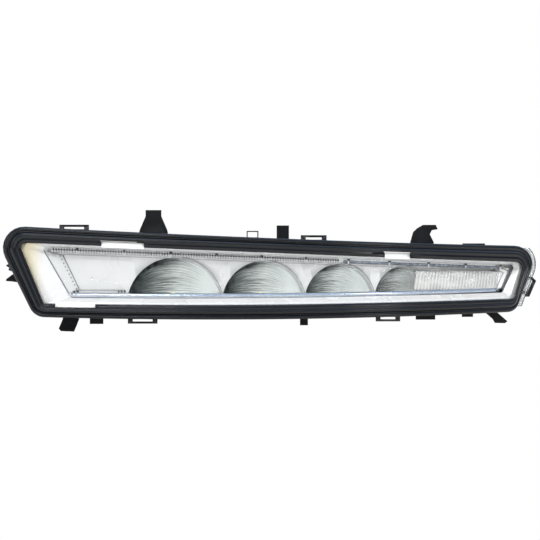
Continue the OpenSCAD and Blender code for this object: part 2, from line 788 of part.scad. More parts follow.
module led(i) {
    color([0.95, 0.9, 0.5]) at_datum() at_angle(bowl_angle(i))
        translate([0, led_d, board_z + board_t]) {
            translate([-led_side / 2, -led_side / 2, 0]) cube([led_side, led_side, led_t]);
            intersection() {
                translate([0, 0, led_t]) sphere(r = 1.8, $fn = 32);
                translate([-3, -3, led_t - 0.2]) cube(6);
            }
        }
}

// Flat lead from the boards to the driver
module flex_lead() {
    lead_t = 0.4;
    lead_w = 8;
    rise_x = bay_x + 2;
    rise_y = led_d + board_side / 2 + 3.5;
    run_z = -8;
    top = carrier_z + carrier_t;
    color([0.85, 0.55, 0.2]) at_datum() {
        arc_plate(arc_angle(20, face_d), bowl_angle(bowl_count - 1) + 1, led_d + board_side / 2,
            led_d + board_side / 2 + 2.3, top, lead_t);
        translate([rise_x - lead_w / 2, led_d + board_side / 2 + 1, top])
            cube([lead_w, 2.5 + lead_t, lead_t]);
        translate([rise_x - lead_w / 2, rise_y, top]) cube([lead_w, lead_t, run_z - top]);
        translate([rise_x - lead_w / 2, rise_y, run_z - lead_t])
            cube([lead_w, driver_y - driver_t - rise_y, lead_t]);
    }
}

module driver_board() {
    color([0.1, 0.35, 0.2]) at_datum() difference() {
        translate([bay_x - driver_w / 2, driver_y - driver_t, bay_z - driver_h / 2])
            cube([driver_w, driver_t, driver_h]);
        for (s = standoff_spots) translate([s[0], driver_y + 1, s[1]])
            rotate([90, 0, 0]) cylinder(r = screw_r, h = 5, $fn = round_fn);
    }
}

module driver_chip() {
    color([0.12, 0.12, 0.13]) at_datum()
        translate([bay_x - 18, driver_y - driver_t - 2, bay_z - 3]) cube([9, 2, 9]);
}

module driver_coil() {
    color([0.3, 0.3, 0.32]) at_datum() translate([bay_x + 22, driver_y - driver_t, bay_z + 1])
        rotate([90, 0, 0]) cylinder(r = 5, h = 6, $fn = round_fn);
}

module driver_capacitors() {
    color([0.6, 0.62, 0.66]) at_datum() for (k = [0, 1])
        translate([bay_x - 3 + 8 * k, driver_y - driver_t, bay_z + 4])
        rotate([90, 0, 0]) cylinder(r = 3, h = 7, $fn = round_fn);
}

// Blades that stand on the driver board and pass into the socket
module pins() {
    for (k = [-1, 0, 1]) translate([socket_x + pin_pitch * k - 0.4, driver_y, bay_z - 1.2])
        cube([0.8, pin_end - driver_y, 2.4]);
}

module connector_pins() {
    color([0.8, 0.7, 0.4]) at_datum() pins();
}

module vent_cap() {
    color([0.2, 0.2, 0.22]) at_datum() at_back(vent_a, vent_z) translate([0, 0, 1]) difference() {
        cylinder(r = vent_r + 1.6, h = vent_h + 1.6, $fn = round_fn);
        translate([0, 0, -1]) cylinder(r = vent_r, h = vent_h + 1, $fn = round_fn);
    }
}

module vent_membrane() {
    color([0.95, 0.95, 0.95]) at_datum() at_back(vent_a, vent_z) translate([0, 0, vent_h])
        cylinder(r = vent_r - 0.3, h = 0.4, $fn = round_fn);
}

// Fasteners

module reflector_screws() {
    color([0.6, 0.6, 0.62]) at_datum() for (p = post_spots) at_back(p[0], p[1]) {
        translate([0, 0, -post_screw_in])
            cylinder(r = post_screw_r, h = post_screw_in + pad_proud + 0.5, $fn = round_fn);
        translate([0, 0, pad_proud]) cylinder(r = post_head_r, h = post_head_h, $fn = round_fn);
    }
}

module carrier_screws() {
    color([0.6, 0.6, 0.62]) at_datum() for (a = screw_angles)
        at_angle(a) translate([0, led_d, carrier_z]) {
            cylinder(r = screw_r, h = carrier_t + board_t + 1, $fn = round_fn);
            translate([0, 0, -head_h]) cylinder(r = head_r, h = head_h, $fn = round_fn);
        }
}

module driver_screws() {
    color([0.6, 0.6, 0.62]) at_datum() for (s = standoff_spots)
        translate([s[0], driver_y - driver_t, s[1]]) {
            rotate([-90, 0, 0]) cylinder(r = screw_r, h = driver_t + standoff - 0.6, $fn = round_fn);
            rotate([90, 0, 0]) cylinder(r = head_r, h = head_h, $fn = round_fn);
        }
}

surround_frame();
outer_lens();
end_flange();
lens_seal();
inner_bezel();
reflector();
flute_optic();
rear_housing();
led_carrier();
led_board(0);  // led_board_1
led_board(1);  // led_board_2
led_board(2);  // led_board_3
led_board(3);  // led_board_4
led(0);  // led_1
led(1);  // led_2
led(2);  // led_3
led(3);  // led_4
flex_lead();
driver_board();
driver_chip();
driver_coil();
driver_capacitors();
connector_pins();
vent_cap();
vent_membrane();
reflector_screws();
carrier_screws();
driver_screws();
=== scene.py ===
"""Studio scene of a daytime running light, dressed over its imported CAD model."""

from __future__ import annotations

import json
import logging
import math
from collections.abc import Callable, Sequence
from dataclasses import dataclass, field
from enum import Enum

import bmesh
import bpy
from mathutils import Matrix, Vector

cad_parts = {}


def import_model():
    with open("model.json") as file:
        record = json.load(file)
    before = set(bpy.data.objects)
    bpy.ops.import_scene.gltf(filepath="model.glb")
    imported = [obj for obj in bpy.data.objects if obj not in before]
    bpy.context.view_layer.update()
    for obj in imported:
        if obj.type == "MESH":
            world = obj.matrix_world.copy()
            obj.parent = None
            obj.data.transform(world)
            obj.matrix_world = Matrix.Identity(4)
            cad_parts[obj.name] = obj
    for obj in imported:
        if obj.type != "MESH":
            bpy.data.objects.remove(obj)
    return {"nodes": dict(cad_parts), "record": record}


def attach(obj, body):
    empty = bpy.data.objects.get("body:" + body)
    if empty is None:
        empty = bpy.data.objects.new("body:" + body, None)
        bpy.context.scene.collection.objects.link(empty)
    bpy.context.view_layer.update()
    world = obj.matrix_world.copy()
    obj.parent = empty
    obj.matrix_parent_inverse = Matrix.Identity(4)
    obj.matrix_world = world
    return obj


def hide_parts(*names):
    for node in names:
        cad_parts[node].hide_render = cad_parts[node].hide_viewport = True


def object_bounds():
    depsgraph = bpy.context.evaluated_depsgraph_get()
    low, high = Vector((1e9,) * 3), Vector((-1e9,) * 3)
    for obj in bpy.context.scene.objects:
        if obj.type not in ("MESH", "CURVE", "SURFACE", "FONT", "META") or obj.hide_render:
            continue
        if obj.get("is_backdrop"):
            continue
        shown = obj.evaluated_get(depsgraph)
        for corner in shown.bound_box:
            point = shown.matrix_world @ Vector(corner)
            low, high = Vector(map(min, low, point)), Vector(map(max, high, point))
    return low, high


LOG = logging.getLogger("running_light")
MM = 0.001

Socket = bpy.types.NodeSocket
Shape = bmesh.types.BMesh
Colour = tuple[float, float, float]
Factors = tuple[float, float, float]
# Places along the lamp and up.
Point = tuple[float, float]
Path = Callable[[float], Vector]
# Radius at the foot, radius at the head, and height.
Taper = tuple[float, float, float]
# Value at the start, value at the end, start, and end.
Ramp = tuple[float, float, float, float]


class Grain(Enum):
    """Kinds of fine relief that a finish can have."""

    POLISHED = "polished"
    MOULDED = "moulded"
    SPARK = "spark eroded"
    BRUSHED = "brushed"


class Way(Enum):
    """Ways that a pattern can run over a piece's own UV map."""

    ACROSS = "X"
    UP = "Y"


@dataclass(frozen=True)
class LampSpace:
    """Places in the lamp, told along its length, behind its lens face and up."""

    origin: Vector = Vector((93.3, -26.205, -51.964)) * MM
    sweep: float = 520 * MM
    front: float = 160 * MM

    def setback(self, x: float, depth: float = 0.0) -> float:
        """Tell how far back the swept surface lies.

        Args:
            x: Place along the lamp from its middle.
            depth: Depth of the surface behind the lens face.

        Returns:
            The distance behind the frontmost point of the lens.
        """
        return self.sweep - math.sqrt((self.sweep - depth) ** 2 - (x + self.front) ** 2)

    def place(self, x: float, y: float, z: float) -> Vector:
        """Turn a place in the lamp into one in the row's frame.

        Args:
            x: Place along the lamp.
            y: Distance behind the lens's frontmost point.
            z: Height above the centreline.

        Returns:
            The point in the row's frame.
        """
        return self.origin + Vector((x, y, z))

    def along(self, arc: float, depth: float, z: float, datum: float) -> Vector:
        """Find the point at an arc length from the lamp's frontmost line.

        Args:
            arc: Arc length.
            depth: Depth behind the lens face, along the sweep's radius.
            z: Height above the centreline.
            datum: Depth at which the arc length is measured.

        Returns:
            The point in the row's frame.
        """
        turn = arc / (self.sweep - datum)
        radius = self.sweep - depth
        return self.place(radius * math.sin(turn) - self.front,
                          self.sweep - radius * math.cos(turn), z)

    def radial(self, x: float, depth: float, z: float) -> Vector:
        """Find the point at a place along the lamp and a depth along the sweep's radius.

        Args:
            x: Place along the lamp.
            depth: Depth behind the lens face, along the sweep's radius.
            z: Height above the centreline.

        Returns:
            The point in the row's frame.
        """
        return self.place(x, self.setback(x, depth), z)

    def turned(self, turn: float, local: Vector) -> Vector:
        """Place a point of a local frame on the lens face, whose +Y runs back along the radius.

        Args:
            turn: Angle of the frame round the sweep's axis.
            local: The point in that frame.

        Returns:
            The point in the row's frame.
        """
        moved = Matrix.Rotation(turn, 3, "Z") @ (local - Vector((0, self.sweep, 0)))
        return self.place(moved.x - self.front, moved.y + self.sweep, moved.z)


SPACE = LampSpace()


@dataclass(frozen=True)
class Lines:
    """Edges of the window and the trough, seen from the front."""

    half: float = 209.75 * MM
    fall: float = math.tan(math.radians(2.2))
    rise: float = math.tan(math.radians(0.5))
    window_top: float = 19.4 * MM
    window_low: float = 20.1 * MM
    trough_low: float = 14.8 * MM
    top_bow: float = 0.4 * MM
    low_bow: float = 3.4 * MM
    trough_bow: float = 3.0 * MM

    def bow(self, x: float) -> float:
        """Share of the full bow at a place along the lamp."""
        return 1 - (x / self.half) ** 2

    def window_edge(self, x: float, side: int) -> float:
        """Find the height of the window's edge.

        Args:
            x: Place along the lamp.
            side: 1 for the top edge, -1 for the bottom edge.

        Returns:
            The height above the centreline.
        """
        if side > 0:
            return self.window_top - self.fall * x - self.bow(x) * self.top_bow
        return -self.window_low + self.rise * x - self.bow(x) * self.low_bow

    def trough_bottom(self, x: float) -> float:
        """Height of the trough's lower edge at a place along the lamp."""
        return -self.trough_low + self.rise * x - self.bow(x) * self.trough_bow


LINES = Lines()


@dataclass(frozen=True)
class Layer:
    """One layer of noise relief, with its waves per metre and its height in metres."""

    scale: float
    height: float
    detail: float = 2.0


POLISH_SWELL = Layer(60, 0.02 * MM)
BRUSH_LINES = Layer(1400, 0.01 * MM)
SPARK_SWELL = Layer(140, 0.03 * MM, 3.0)
MOULD_GRAIN = Layer(1100, 0.012 * MM)
MOULD_SWELL = Layer(45, 0.05 * MM)
PHOSPHOR_GRAIN = Layer(1800, 0.02 * MM)
SPARK_CELLS = 1500
SPARK_HEIGHT = 0.03 * MM
BRUSH_STRETCH = (0.06, 1.0, 1.0)


class Wiring:
    """Node tree of one material, with its shader and its object coordinates."""

    def __init__(self, name: str) -> None:
        """Start a material with a bare shader.

        Args:
            name: Name of the material.
        """
        self.material = bpy.data.materials.new(name)
        self.material.use_nodes = True
        self.tree = self.material.node_tree
        self.shader = self.tree.nodes["Principled BSDF"]
        self.coords = self.add("ShaderNodeTexCoord").outputs["Object"]

    def add(self, kind: str, **values: object) -> bpy.types.Node:
        """Add a node.

        Args:
            kind: Blender's name for the node.
            **values: Settings of the node.

        Returns:
            The new node.
        """
        node = self.tree.nodes.new(kind)
        for key, value in values.items():
            setattr(node, key, value)
        return node

    def join(self, source: Socket, target: Socket) -> None:
        """Link two sockets.

        Args:
            source: The output.
            target: The input.
        """
        self.tree.links.new(source, target)

    def stretched(self, scale: Factors) -> Socket:
        """Stretch the object coordinates.

        Args:
            scale: Factor along each axis.

        Returns:
            The stretched coordinates.
        """
        node = self.add("ShaderNodeMapping")
        node.inputs["Scale"].default_value = scale
        self.join(self.coords, node.inputs["Vector"])
        return node.outputs["Vector"]

    def noise(self, scale: float, detail: float = 3.0, vector: Socket | None = None) -> Socket:
        """Add a noise pattern.

        Args:
            scale: Waves per metre, roughly.
            detail: Number of finer layers.
            vector: Coordinates to use in place of the object's.

        Returns:
            The pattern's value, from 0 to 1.
        """
        node = self.add("ShaderNodeTexNoise")
        node.inputs["Scale"].default_value = scale
        node.inputs["Detail"].default_value = detail
        self.join(vector or self.coords, node.inputs["Vector"])
        return node.outputs["Fac"]

    def spread(self, source: Socket, low: float, high: float, start: float = 0.3,
               end: float = 0.7) -> Socket:
        """Map a pattern to a range of values.

        Args:
            source: The pattern.
            low: Value at start.
            high: Value at end.
            start: Pattern's value that gives low.
            end: Pattern's value that gives high.

        Returns:
            The mapped value.
        """
        node = self.add("ShaderNodeMapRange")
        node.inputs["From Min"].default_value = start
        node.inputs["From Max"].default_value = end
        node.inputs["To Min"].default_value = low
        node.inputs["To Max"].default_value = high
        self.join(source, node.inputs["Value"])
        return node.outputs["Result"]

    def tint(self, share: Socket, first: Colour | Socket, second: Colour) -> Socket:
        """Mix two colours by a pattern.

        Args:
            share: Share of the second colour.
            first: First colour, or its socket.
            second: Second colour.

        Returns:
            The mixed colour.
        """
        node = self.add("ShaderNodeMix", data_type="RGBA")
        if isinstance(first, tuple):
            node.inputs["A"].default_value = (*first, 1)
        else:
            self.join(first, node.inputs["A"])
        node.inputs["B"].default_value = (*second, 1)
        self.join(share, node.inputs["Factor"])
        return node.outputs["Result"]

    def maths(self, operation: str, first: Socket, second: Socket | float) -> Socket:
        """Combine two values.

        Args:
            operation: Blender's name for the sum.
            first: First value's socket.
            second: Second value, or its socket.

        Returns:
            The result.
        """
        node = self.add("ShaderNodeMath", operation=operation)
        self.join(first, node.inputs[0])
        if isinstance(second, float):
            node.inputs[1].default_value = second
        else:
            self.join(second, node.inputs[1])
        return node.outputs[0]

    def relief(self, source: Socket, height: float, under: Socket | None = None) -> Socket:
        """Turn a pattern into relief.

        Args:
            source: The pattern.
            height: Height of the relief in metres.
            under: Coarser relief that this one lies on.

        Returns:
            The normal.
        """
        node = self.add("ShaderNodeBump")
        node.inputs["Strength"].default_value = 1.0
        node.inputs["Distance"].default_value = height
        self.join(source, node.inputs["Height"])
        if under is not None:
            self.join(under, node.inputs["Normal"])
        return node.outputs["Normal"]

    def layer(self, layer: Layer, vector: Socket | None = None,
              under: Socket | None = None) -> Socket:
        """Turn a layer of noise into relief.

        Args:
            layer: Scale and height of the noise.
            vector: Coordinates to use in place of the object's.
            under: Coarser relief that this one lies on.

        Returns:
            The normal.
        """
        return self.relief(self.noise(layer.scale, layer.detail, vector), layer.height, under)


@dataclass(frozen=True)
class Finish:
    """Opaque finish whose colour, gloss and relief vary over the piece."""

    name: str
    colour: Colour
    second: Colour
    gloss: tuple[float, float]
    metallic: float = 0.0
    specular: float = 0.5
    grain: Grain = Grain.MOULDED
    cloud_scale: float = 22.0
    gloss_ratio: float = 3.1
    warm: Colour | None = None
    warm_ramp: Ramp = (0.9, 0.0, -100 * MM, -88 * MM)

    def build(self) -> bpy.types.Material:
        """Make the material.

        Returns:
            The finished material.
        """
        wiring = Wiring(self.name)
        shader = wiring.shader.inputs
        cloud = wiring.noise(self.cloud_scale, 4.0)
        colour = wiring.tint(wiring.spread(cloud, 0.0, 1.0), self.colour, self.second)
        if self.warm:
            split = wiring.add("ShaderNodeSeparateXYZ")
            wiring.join(wiring.coords, split.inputs["Vector"])
            inner_end = wiring.spread(split.outputs["X"], *self.warm_ramp)
            colour = wiring.tint(inner_end, colour, self.warm)
        wiring.join(colour, shader["Base Color"])
        fine = wiring.noise(self.cloud_scale * self.gloss_ratio, 2.0)
        wiring.join(wiring.spread(fine, *self.gloss), shader["Roughness"])
        wiring.join(self.grain_relief(wiring), shader["Normal"])
        shader["Metallic"].default_value = self.metallic
        shader["Specular IOR Level"].default_value = self.specular
        return wiring.material

    def grain_relief(self, wiring: Wiring) -> Socket:
        """Make the relief that the kind of grain asks for.

        Args:
            wiring: Node tree to add to.

        Returns:
            The normal.
        """
        if self.grain is Grain.POLISHED:
            return wiring.layer(POLISH_SWELL)
        if self.grain is Grain.BRUSHED:
            return wiring.layer(BRUSH_LINES, wiring.stretched(BRUSH_STRETCH))
        if self.grain is Grain.SPARK:
            cells = wiring.add("ShaderNodeTexVoronoi")
            cells.inputs["Scale"].default_value = SPARK_CELLS
            wiring.join(wiring.coords, cells.inputs["Vector"])
            return wiring.relief(cells.outputs["Distance"], SPARK_HEIGHT, wiring.layer(SPARK_SWELL))
        return wiring.layer(MOULD_GRAIN, under=wiring.layer(MOULD_SWELL))


@dataclass(frozen=True)
class ClearFinish:
    """Clear moulded plastic with a faint tint and slight flow marks."""

    name: str
    tint: Colour
    gloss: tuple[float, float] = (0.0, 0.03)
    alpha: float = 0.3
    ior: float = 1.49
    lift: float = 0.02
    flow_scale: float = 30
    flow_stretch: Factors = (0.4, 1.0, 1.4)

    def build(self) -> bpy.types.Material:
        """Make the material.

        Returns:
            The finished material.
        """
        wiring = Wiring(self.name)
        shader = wiring.shader.inputs
        flow = wiring.noise(self.flow_scale, 3.0, wiring.stretched(self.flow_stretch))
        pale = tuple(min(1.0, c + self.lift) for c in self.tint)
        wiring.join(wiring.tint(flow, self.tint, pale), shader["Base Color"])
        wiring.join(wiring.spread(flow, *self.gloss), shader["Roughness"])
        shader["Transmission Weight"].default_value = 1.0
        shader["IOR"].default_value = self.ior
        shader["Alpha"].default_value = self.alpha
        return wiring.material


@dataclass(frozen=True)
class PhosphorFinish:
    """Pale yellow phosphor under a clear dome."""

    name: str = "led_phosphor"
    tones: tuple[Colour, Colour] = ((0.88, 0.83, 0.56), (0.97, 0.95, 0.8))
    gloss: tuple[float, float] = (0.15, 0.35)
    coat: float = 0.6

    def build(self) -> bpy.types.Material:
        """Make the material.

        Returns:
            The finished material.
        """
        wiring = Wiring(self.name)
        shader = wiring.shader.inputs
        speckle = wiring.noise(PHOSPHOR_GRAIN.scale, PHOSPHOR_GRAIN.detail)
        wiring.join(wiring.tint(speckle, *self.tones), shader["Base Color"])
        wiring.join(wiring.spread(speckle, *self.gloss), shader["Roughness"])
        wiring.join(wiring.relief(speckle, PHOSPHOR_GRAIN.height), shader["Normal"])
        shader["Coat Weight"].default_value = self.coat
        return wiring.material


BEZEL_BLACK = Finish("bezel_black", (0.0012, 0.0016, 0.0026), (0.003, 0.0038, 0.006), (0.16, 0.26),
                     specular=0.34)
HOUSING_BLACK = Finish("housing_black", (0.003, 0.0033, 0.004), (0.006, 0.0065, 0.0075),
                       (0.42, 0.56), specular=0.12, grain=Grain.SPARK)
CLEAR_COVER = ClearFinish("clear_cover", (0.96, 0.98, 0.985), alpha=0.035)
SEAL_GREY = Finish("seal_rubber", (0.035, 0.035, 0.038), (0.05, 0.05, 0.054), (0.6, 0.75))
BORDER_METAL = Finish("border_metal", (0.7, 0.7, 0.69), (0.76, 0.77, 0.78), (0.2, 0.32),
                      metallic=0.2, grain=Grain.POLISHED, cloud_scale=14.0, warm=(0.68, 0.61, 0.42))
BAND_METAL = Finish("band_metal", (0.1, 0.12, 0.15), (0.26, 0.3, 0.36), (0.2, 0.34), metallic=0.4,
                    grain=Grain.POLISHED, cloud_scale=90.0)
REFLECTOR_METAL = Finish("reflector_metal", (0.54, 0.55, 0.55), (0.61, 0.62, 0.62), (0.24, 0.36),
                         metallic=0.15, grain=Grain.POLISHED, cloud_scale=12.0)
CLEAR_OPTIC = ClearFinish("clear_optic", (0.72, 0.76, 0.8), alpha=0.5)
CARRIER_METAL = Finish("carrier_metal", (0.66, 0.67, 0.69), (0.75, 0.76, 0.78), (0.3, 0.42),
                       metallic=1.0, grain=Grain.BRUSHED)
LED_YELLOW = PhosphorFinish()
BOARD_WHITE = Finish("led_board", (0.78, 0.79, 0.76), (0.85, 0.86, 0.84), (0.28, 0.4))
FLEX_AMBER = Finish("flex_film", (0.55, 0.25, 0.04), (0.66, 0.33, 0.07), (0.2, 0.32))
BOARD_GREEN = Finish("driver_board", (0.02, 0.12, 0.05), (0.03, 0.17, 0.07), (0.25, 0.38))
CHIP_BLACK = Finish("chip_black", (0.02, 0.02, 0.022), (0.03, 0.03, 0.032), (0.4, 0.55),
                    grain=Grain.SPARK)
COIL_GREY = Finish("coil_core", (0.05, 0.05, 0.055), (0.08, 0.08, 0.085), (0.5, 0.7),
                   grain=Grain.SPARK)
CAN_METAL = Finish("capacitor_can", (0.6, 0.62, 0.66), (0.7, 0.72, 0.75), (0.2, 0.3), metallic=1.0,
                   grain=Grain.BRUSHED)
CONTACT_METAL = Finish("contact_metal", (0.72, 0.62, 0.38), (0.8, 0.72, 0.5), (0.18, 0.3),
                       metallic=1.0, grain=Grain.BRUSHED)
VENT_BLACK = Finish("vent_plastic", (0.02, 0.02, 0.022), (0.03, 0.03, 0.033), (0.45, 0.6),
                    grain=Grain.SPARK)
VENT_WHITE = Finish("vent_film", (0.8, 0.8, 0.79), (0.88, 0.88, 0.87), (0.7, 0.85),
                    grain=Grain.SPARK)
SCREW_STEEL = Finish("screw_steel", (0.5, 0.5, 0.49), (0.62, 0.61, 0.58), (0.22, 0.38),
                     metallic=1.0, grain=Grain.BRUSHED)
BAR_METAL = Finish("bar_metal", (0.5, 0.56, 0.64), (0.66, 0.71, 0.78), (0.1, 0.2), metallic=1.0,
                   grain=Grain.POLISHED, cloud_scale=60.0)
# Dark grey of thin lines put along step edges, grooves and the bowls' outer sides: painted shade.
SHADE_LINE_GREY = Finish("shade_line_grey", (0.12, 0.125, 0.13), (0.22, 0.225, 0.23), (0.3, 0.5))
# Near black of the lugs and rods put where there is only shade: painted shadow.
SHADOW_BLACK = Finish("painted_shadow_black", (0.012, 0.013, 0.015), (0.03, 0.031, 0.034), (0.4, 0.6))
FROSTED = Finish("frosted_land", (0.86, 0.87, 0.87), (0.93, 0.93, 0.93), (0.45, 0.6))


@dataclass(frozen=True)
class Crescent:
    """Dark painted shade and reflection on a bowl's inner side, which fades out over shares of the
    way across and up.
    """

    shade: Colour = (0.005, 0.009, 0.008)
    valley_fade: Ramp = (0.9, 0.0, 0.45, 0.72)
    reflection_streak_scale: Factors = (5.0, 46.0, 1.0)
    reflection_streaks: Ramp = (0.0, 1.0, 0.5, 0.58)
    reflection_streak_fade: Ramp = (0.95, 0.04, 0.4, 0.76)
    soft_gain: float = 2.2
    soft_fade: Ramp = (0.88, 0.0, 0.27, 0.56)
    corner_fade: Ramp = (1.0, 0.0, 0.2, 0.46)
    edge_rise: Ramp = (0.0, 1.0, 0.7, 0.88)
    edge_fade: Ramp = (1.0, 0.0, 0.4, 0.66)
    shade_mottle_scale: float = 150
    shade_mottle: Ramp = (0.8, 1.0, 0.4, 0.54)

    def over(self, wiring: Wiring, sheet: Socket, shares: bpy.types.NodeOutputs,
             colour: Socket, valley: Colour) -> Socket:
        """Paint the crescent of shade and the reflection streaks over a bowl's colour.

        Args:
            wiring: Node tree to add to.
            sheet: The lining's UV map.
            shares: Its shares of the way across and up, as X and Y.
            colour: Colour under the crescent.
            valley: Colour of the painted shade in the flutes' valleys, also used for the streaks.

        Returns:
            The colour with the painted shade and reflection.
        """
        across, up = shares["X"], shares["Y"]
        # Dark streaks of painted reflection along the lining, fading towards its outer side.
        fine = wiring.add("ShaderNodeMapping")
        fine.inputs["Scale"].default_value = self.reflection_streak_scale
        wiring.join(sheet, fine.inputs["Vector"])
        reflection_streaks = wiring.spread(wiring.noise(1.0, 3.0, fine.outputs["Vector"]), *self.reflection_streaks)
        reflection_streaks = wiring.maths("MULTIPLY", reflection_streaks, wiring.spread(across, *self.reflection_streak_fade))
        colour = wiring.tint(reflection_streaks, colour, valley)
        # A soft painted shade over the bowl's inner side.
        soft = tuple(c * self.soft_gain for c in valley)
        colour = wiring.tint(wiring.spread(across, *self.soft_fade), colour, soft)
        # Painted shade in the inner corner and along the top edge, mottled by noise.
        corner = wiring.spread(across, *self.corner_fade)
        edge = wiring.maths("MULTIPLY", wiring.spread(up, *self.edge_rise),
                            wiring.spread(across, *self.edge_fade))
        shade_mottle = wiring.spread(wiring.noise(self.shade_mottle_scale, 4.0), *self.shade_mottle)
        painted_shade = wiring.maths("MULTIPLY", wiring.maths("MAXIMUM", corner, edge), shade_mottle)
        return wiring.tint(painted_shade, colour, self.shade)


@dataclass(frozen=True)
class FlutedFinish:
    """Metallised or clear finish whose flutes' valleys are darkened with painted shade."""

    name: str
    flutes: int
    way: Way
    pale: Colour
    valley: Colour
    metallic: float = 0.0
    specular: float = 0.5
    alpha: float = 1.0
    transmission: float = 0.0
    crescent: Crescent | None = None
    dulled: float = 0.9
    valley_ramp: Ramp = (1.0, 0.0, 0.0, 0.2)
    streak_scale: float = 90
    streak_stretch: Factors = (0.35, 1.0, 2.2)
    streak_ramp: Ramp = (0.4, 1.0, 0.38, 0.58)
    gloss: tuple[float, float] = (0.12, 0.24)

    def build(self) -> bpy.types.Material:
        """Make the material, whose pattern follows the piece's own UV map.

        Returns:
            The finished material.
        """
        wiring = Wiring(self.name)
        shader = wiring.shader.inputs
        sheet = wiring.add("ShaderNodeUVMap", uv_map="sheet").outputs["UV"]
        split = wiring.add("ShaderNodeSeparateXYZ")
        wiring.join(sheet, split.inputs["Vector"])
        shares = split.outputs
        wave = wiring.maths("MULTIPLY", shares[self.way.value], float(self.flutes))
        streaks = wiring.noise(self.streak_scale, 3.0, wiring.stretched(self.streak_stretch))
        # The valleys between the flutes are darkened as painted shade.
        dark = wiring.spread(wiring.maths("PINGPONG", wave, 0.5), *self.valley_ramp)
        dark = wiring.maths("MULTIPLY", dark, wiring.spread(streaks, *self.streak_ramp))
        if self.crescent:
            fade = wiring.spread(shares["X"], *self.crescent.valley_fade)
            dark = wiring.maths("MULTIPLY", dark, fade)
        dull = tuple(c * self.dulled for c in self.pale)
        colour = wiring.tint(dark, wiring.tint(streaks, self.pale, dull), self.valley)
        # The bowls also get a painted crescent of shade and painted reflection streaks.
        if self.crescent:
            colour = self.crescent.over(wiring, sheet, shares, colour, self.valley)
        wiring.join(colour, shader["Base Color"])
        wiring.join(wiring.spread(streaks, *self.gloss), shader["Roughness"])
        shader["Metallic"].default_value = self.metallic
        shader["Specular IOR Level"].default_value = self.specular
        shader["Alpha"].default_value = self.alpha
        shader["Transmission Weight"].default_value = self.transmission
        return wiring.material


BOWL_FLUTES = 13
INSERT_FLUTES = 27
# Valley colours are painted shade; the bowls' crescent is painted shade and reflection.
FLUTED_METAL = FlutedFinish("fluted_metal", BOWL_FLUTES, Way.UP, (0.95, 1.0, 0.98),
                            (0.03, 0.042, 0.038), metallic=0.05, specular=0.0,
                            crescent=Crescent())
FLUTED_CLEAR = FlutedFinish("fluted_clear", INSERT_FLUTES, Way.ACROSS, (0.95, 0.95, 0.95),
                            (0.5, 0.5, 0.48), alpha=0.85, transmission=0.3)

AnyFinish = Finish | ClearFinish | PhosphorFinish | FlutedFinish


@dataclass
class Dresser:
    """Gives CAD nodes and new pieces their finishes, each made once."""

    nodes: dict[str, bpy.types.Object]
    made: dict[str, bpy.types.Material] = field(default_factory=dict)

    def material(self, finish: AnyFinish) -> bpy.types.Material:
        """Fetch a finish's material.

        Args:
            finish: The finish.

        Returns:
            Its material.
        """
        if finish.name not in self.made:
            self.made[finish.name] = finish.build()
        return self.made[finish.name]

    def dress(self, node: str, finish: AnyFinish) -> None:
        """Put a finish on a CAD node.

        Args:
            node: The node's name.
            finish: The finish.
        """
        mesh = self.nodes[node].data
        mesh.materials.clear()
        mesh.materials.append(self.material(finish))


@dataclass
class Body:
    """CAD nodes that keep their shape, with the finish of each."""

    finishes: dict[str, AnyFinish] = field(default_factory=lambda: {
        "surround_frame": BEZEL_BLACK, "outer_lens": CLEAR_COVER, "lens_seal": SEAL_GREY,
        "end_flange": CLEAR_OPTIC, "inner_bezel": BORDER_METAL, "reflector": REFLECTOR_METAL,
        "flute_optic": CLEAR_OPTIC, "rear_housing": HOUSING_BLACK, "led_carrier": CARRIER_METAL,
        "led_board_1": BOARD_WHITE, "led_board_2": BOARD_WHITE, "led_board_3": BOARD_WHITE,
        "led_board_4": BOARD_WHITE, "led_1": LED_YELLOW, "led_2": LED_YELLOW, "led_3": LED_YELLOW,
        "led_4": LED_YELLOW, "flex_lead": FLEX_AMBER, "driver_board": BOARD_GREEN,
        "driver_chip": CHIP_BLACK, "driver_coil": COIL_GREY, "driver_capacitors": CAN_METAL,
        "connector_pins": CONTACT_METAL, "vent_cap": VENT_BLACK, "vent_membrane": VENT_WHITE,
        "reflector_screws": SCREW_STEEL, "carrier_screws": SCREW_STEEL,
        "driver_screws": SCREW_STEEL})

    def build(self, dresser: Dresser) -> None:
        """Dress the nodes.

        Args:
            dresser: Where the finishes come from.
        """
        for node, finish in self.finishes.items():
            dresser.dress(node, finish)
            LOG.info("dressed %s with %s", node, finish.name)


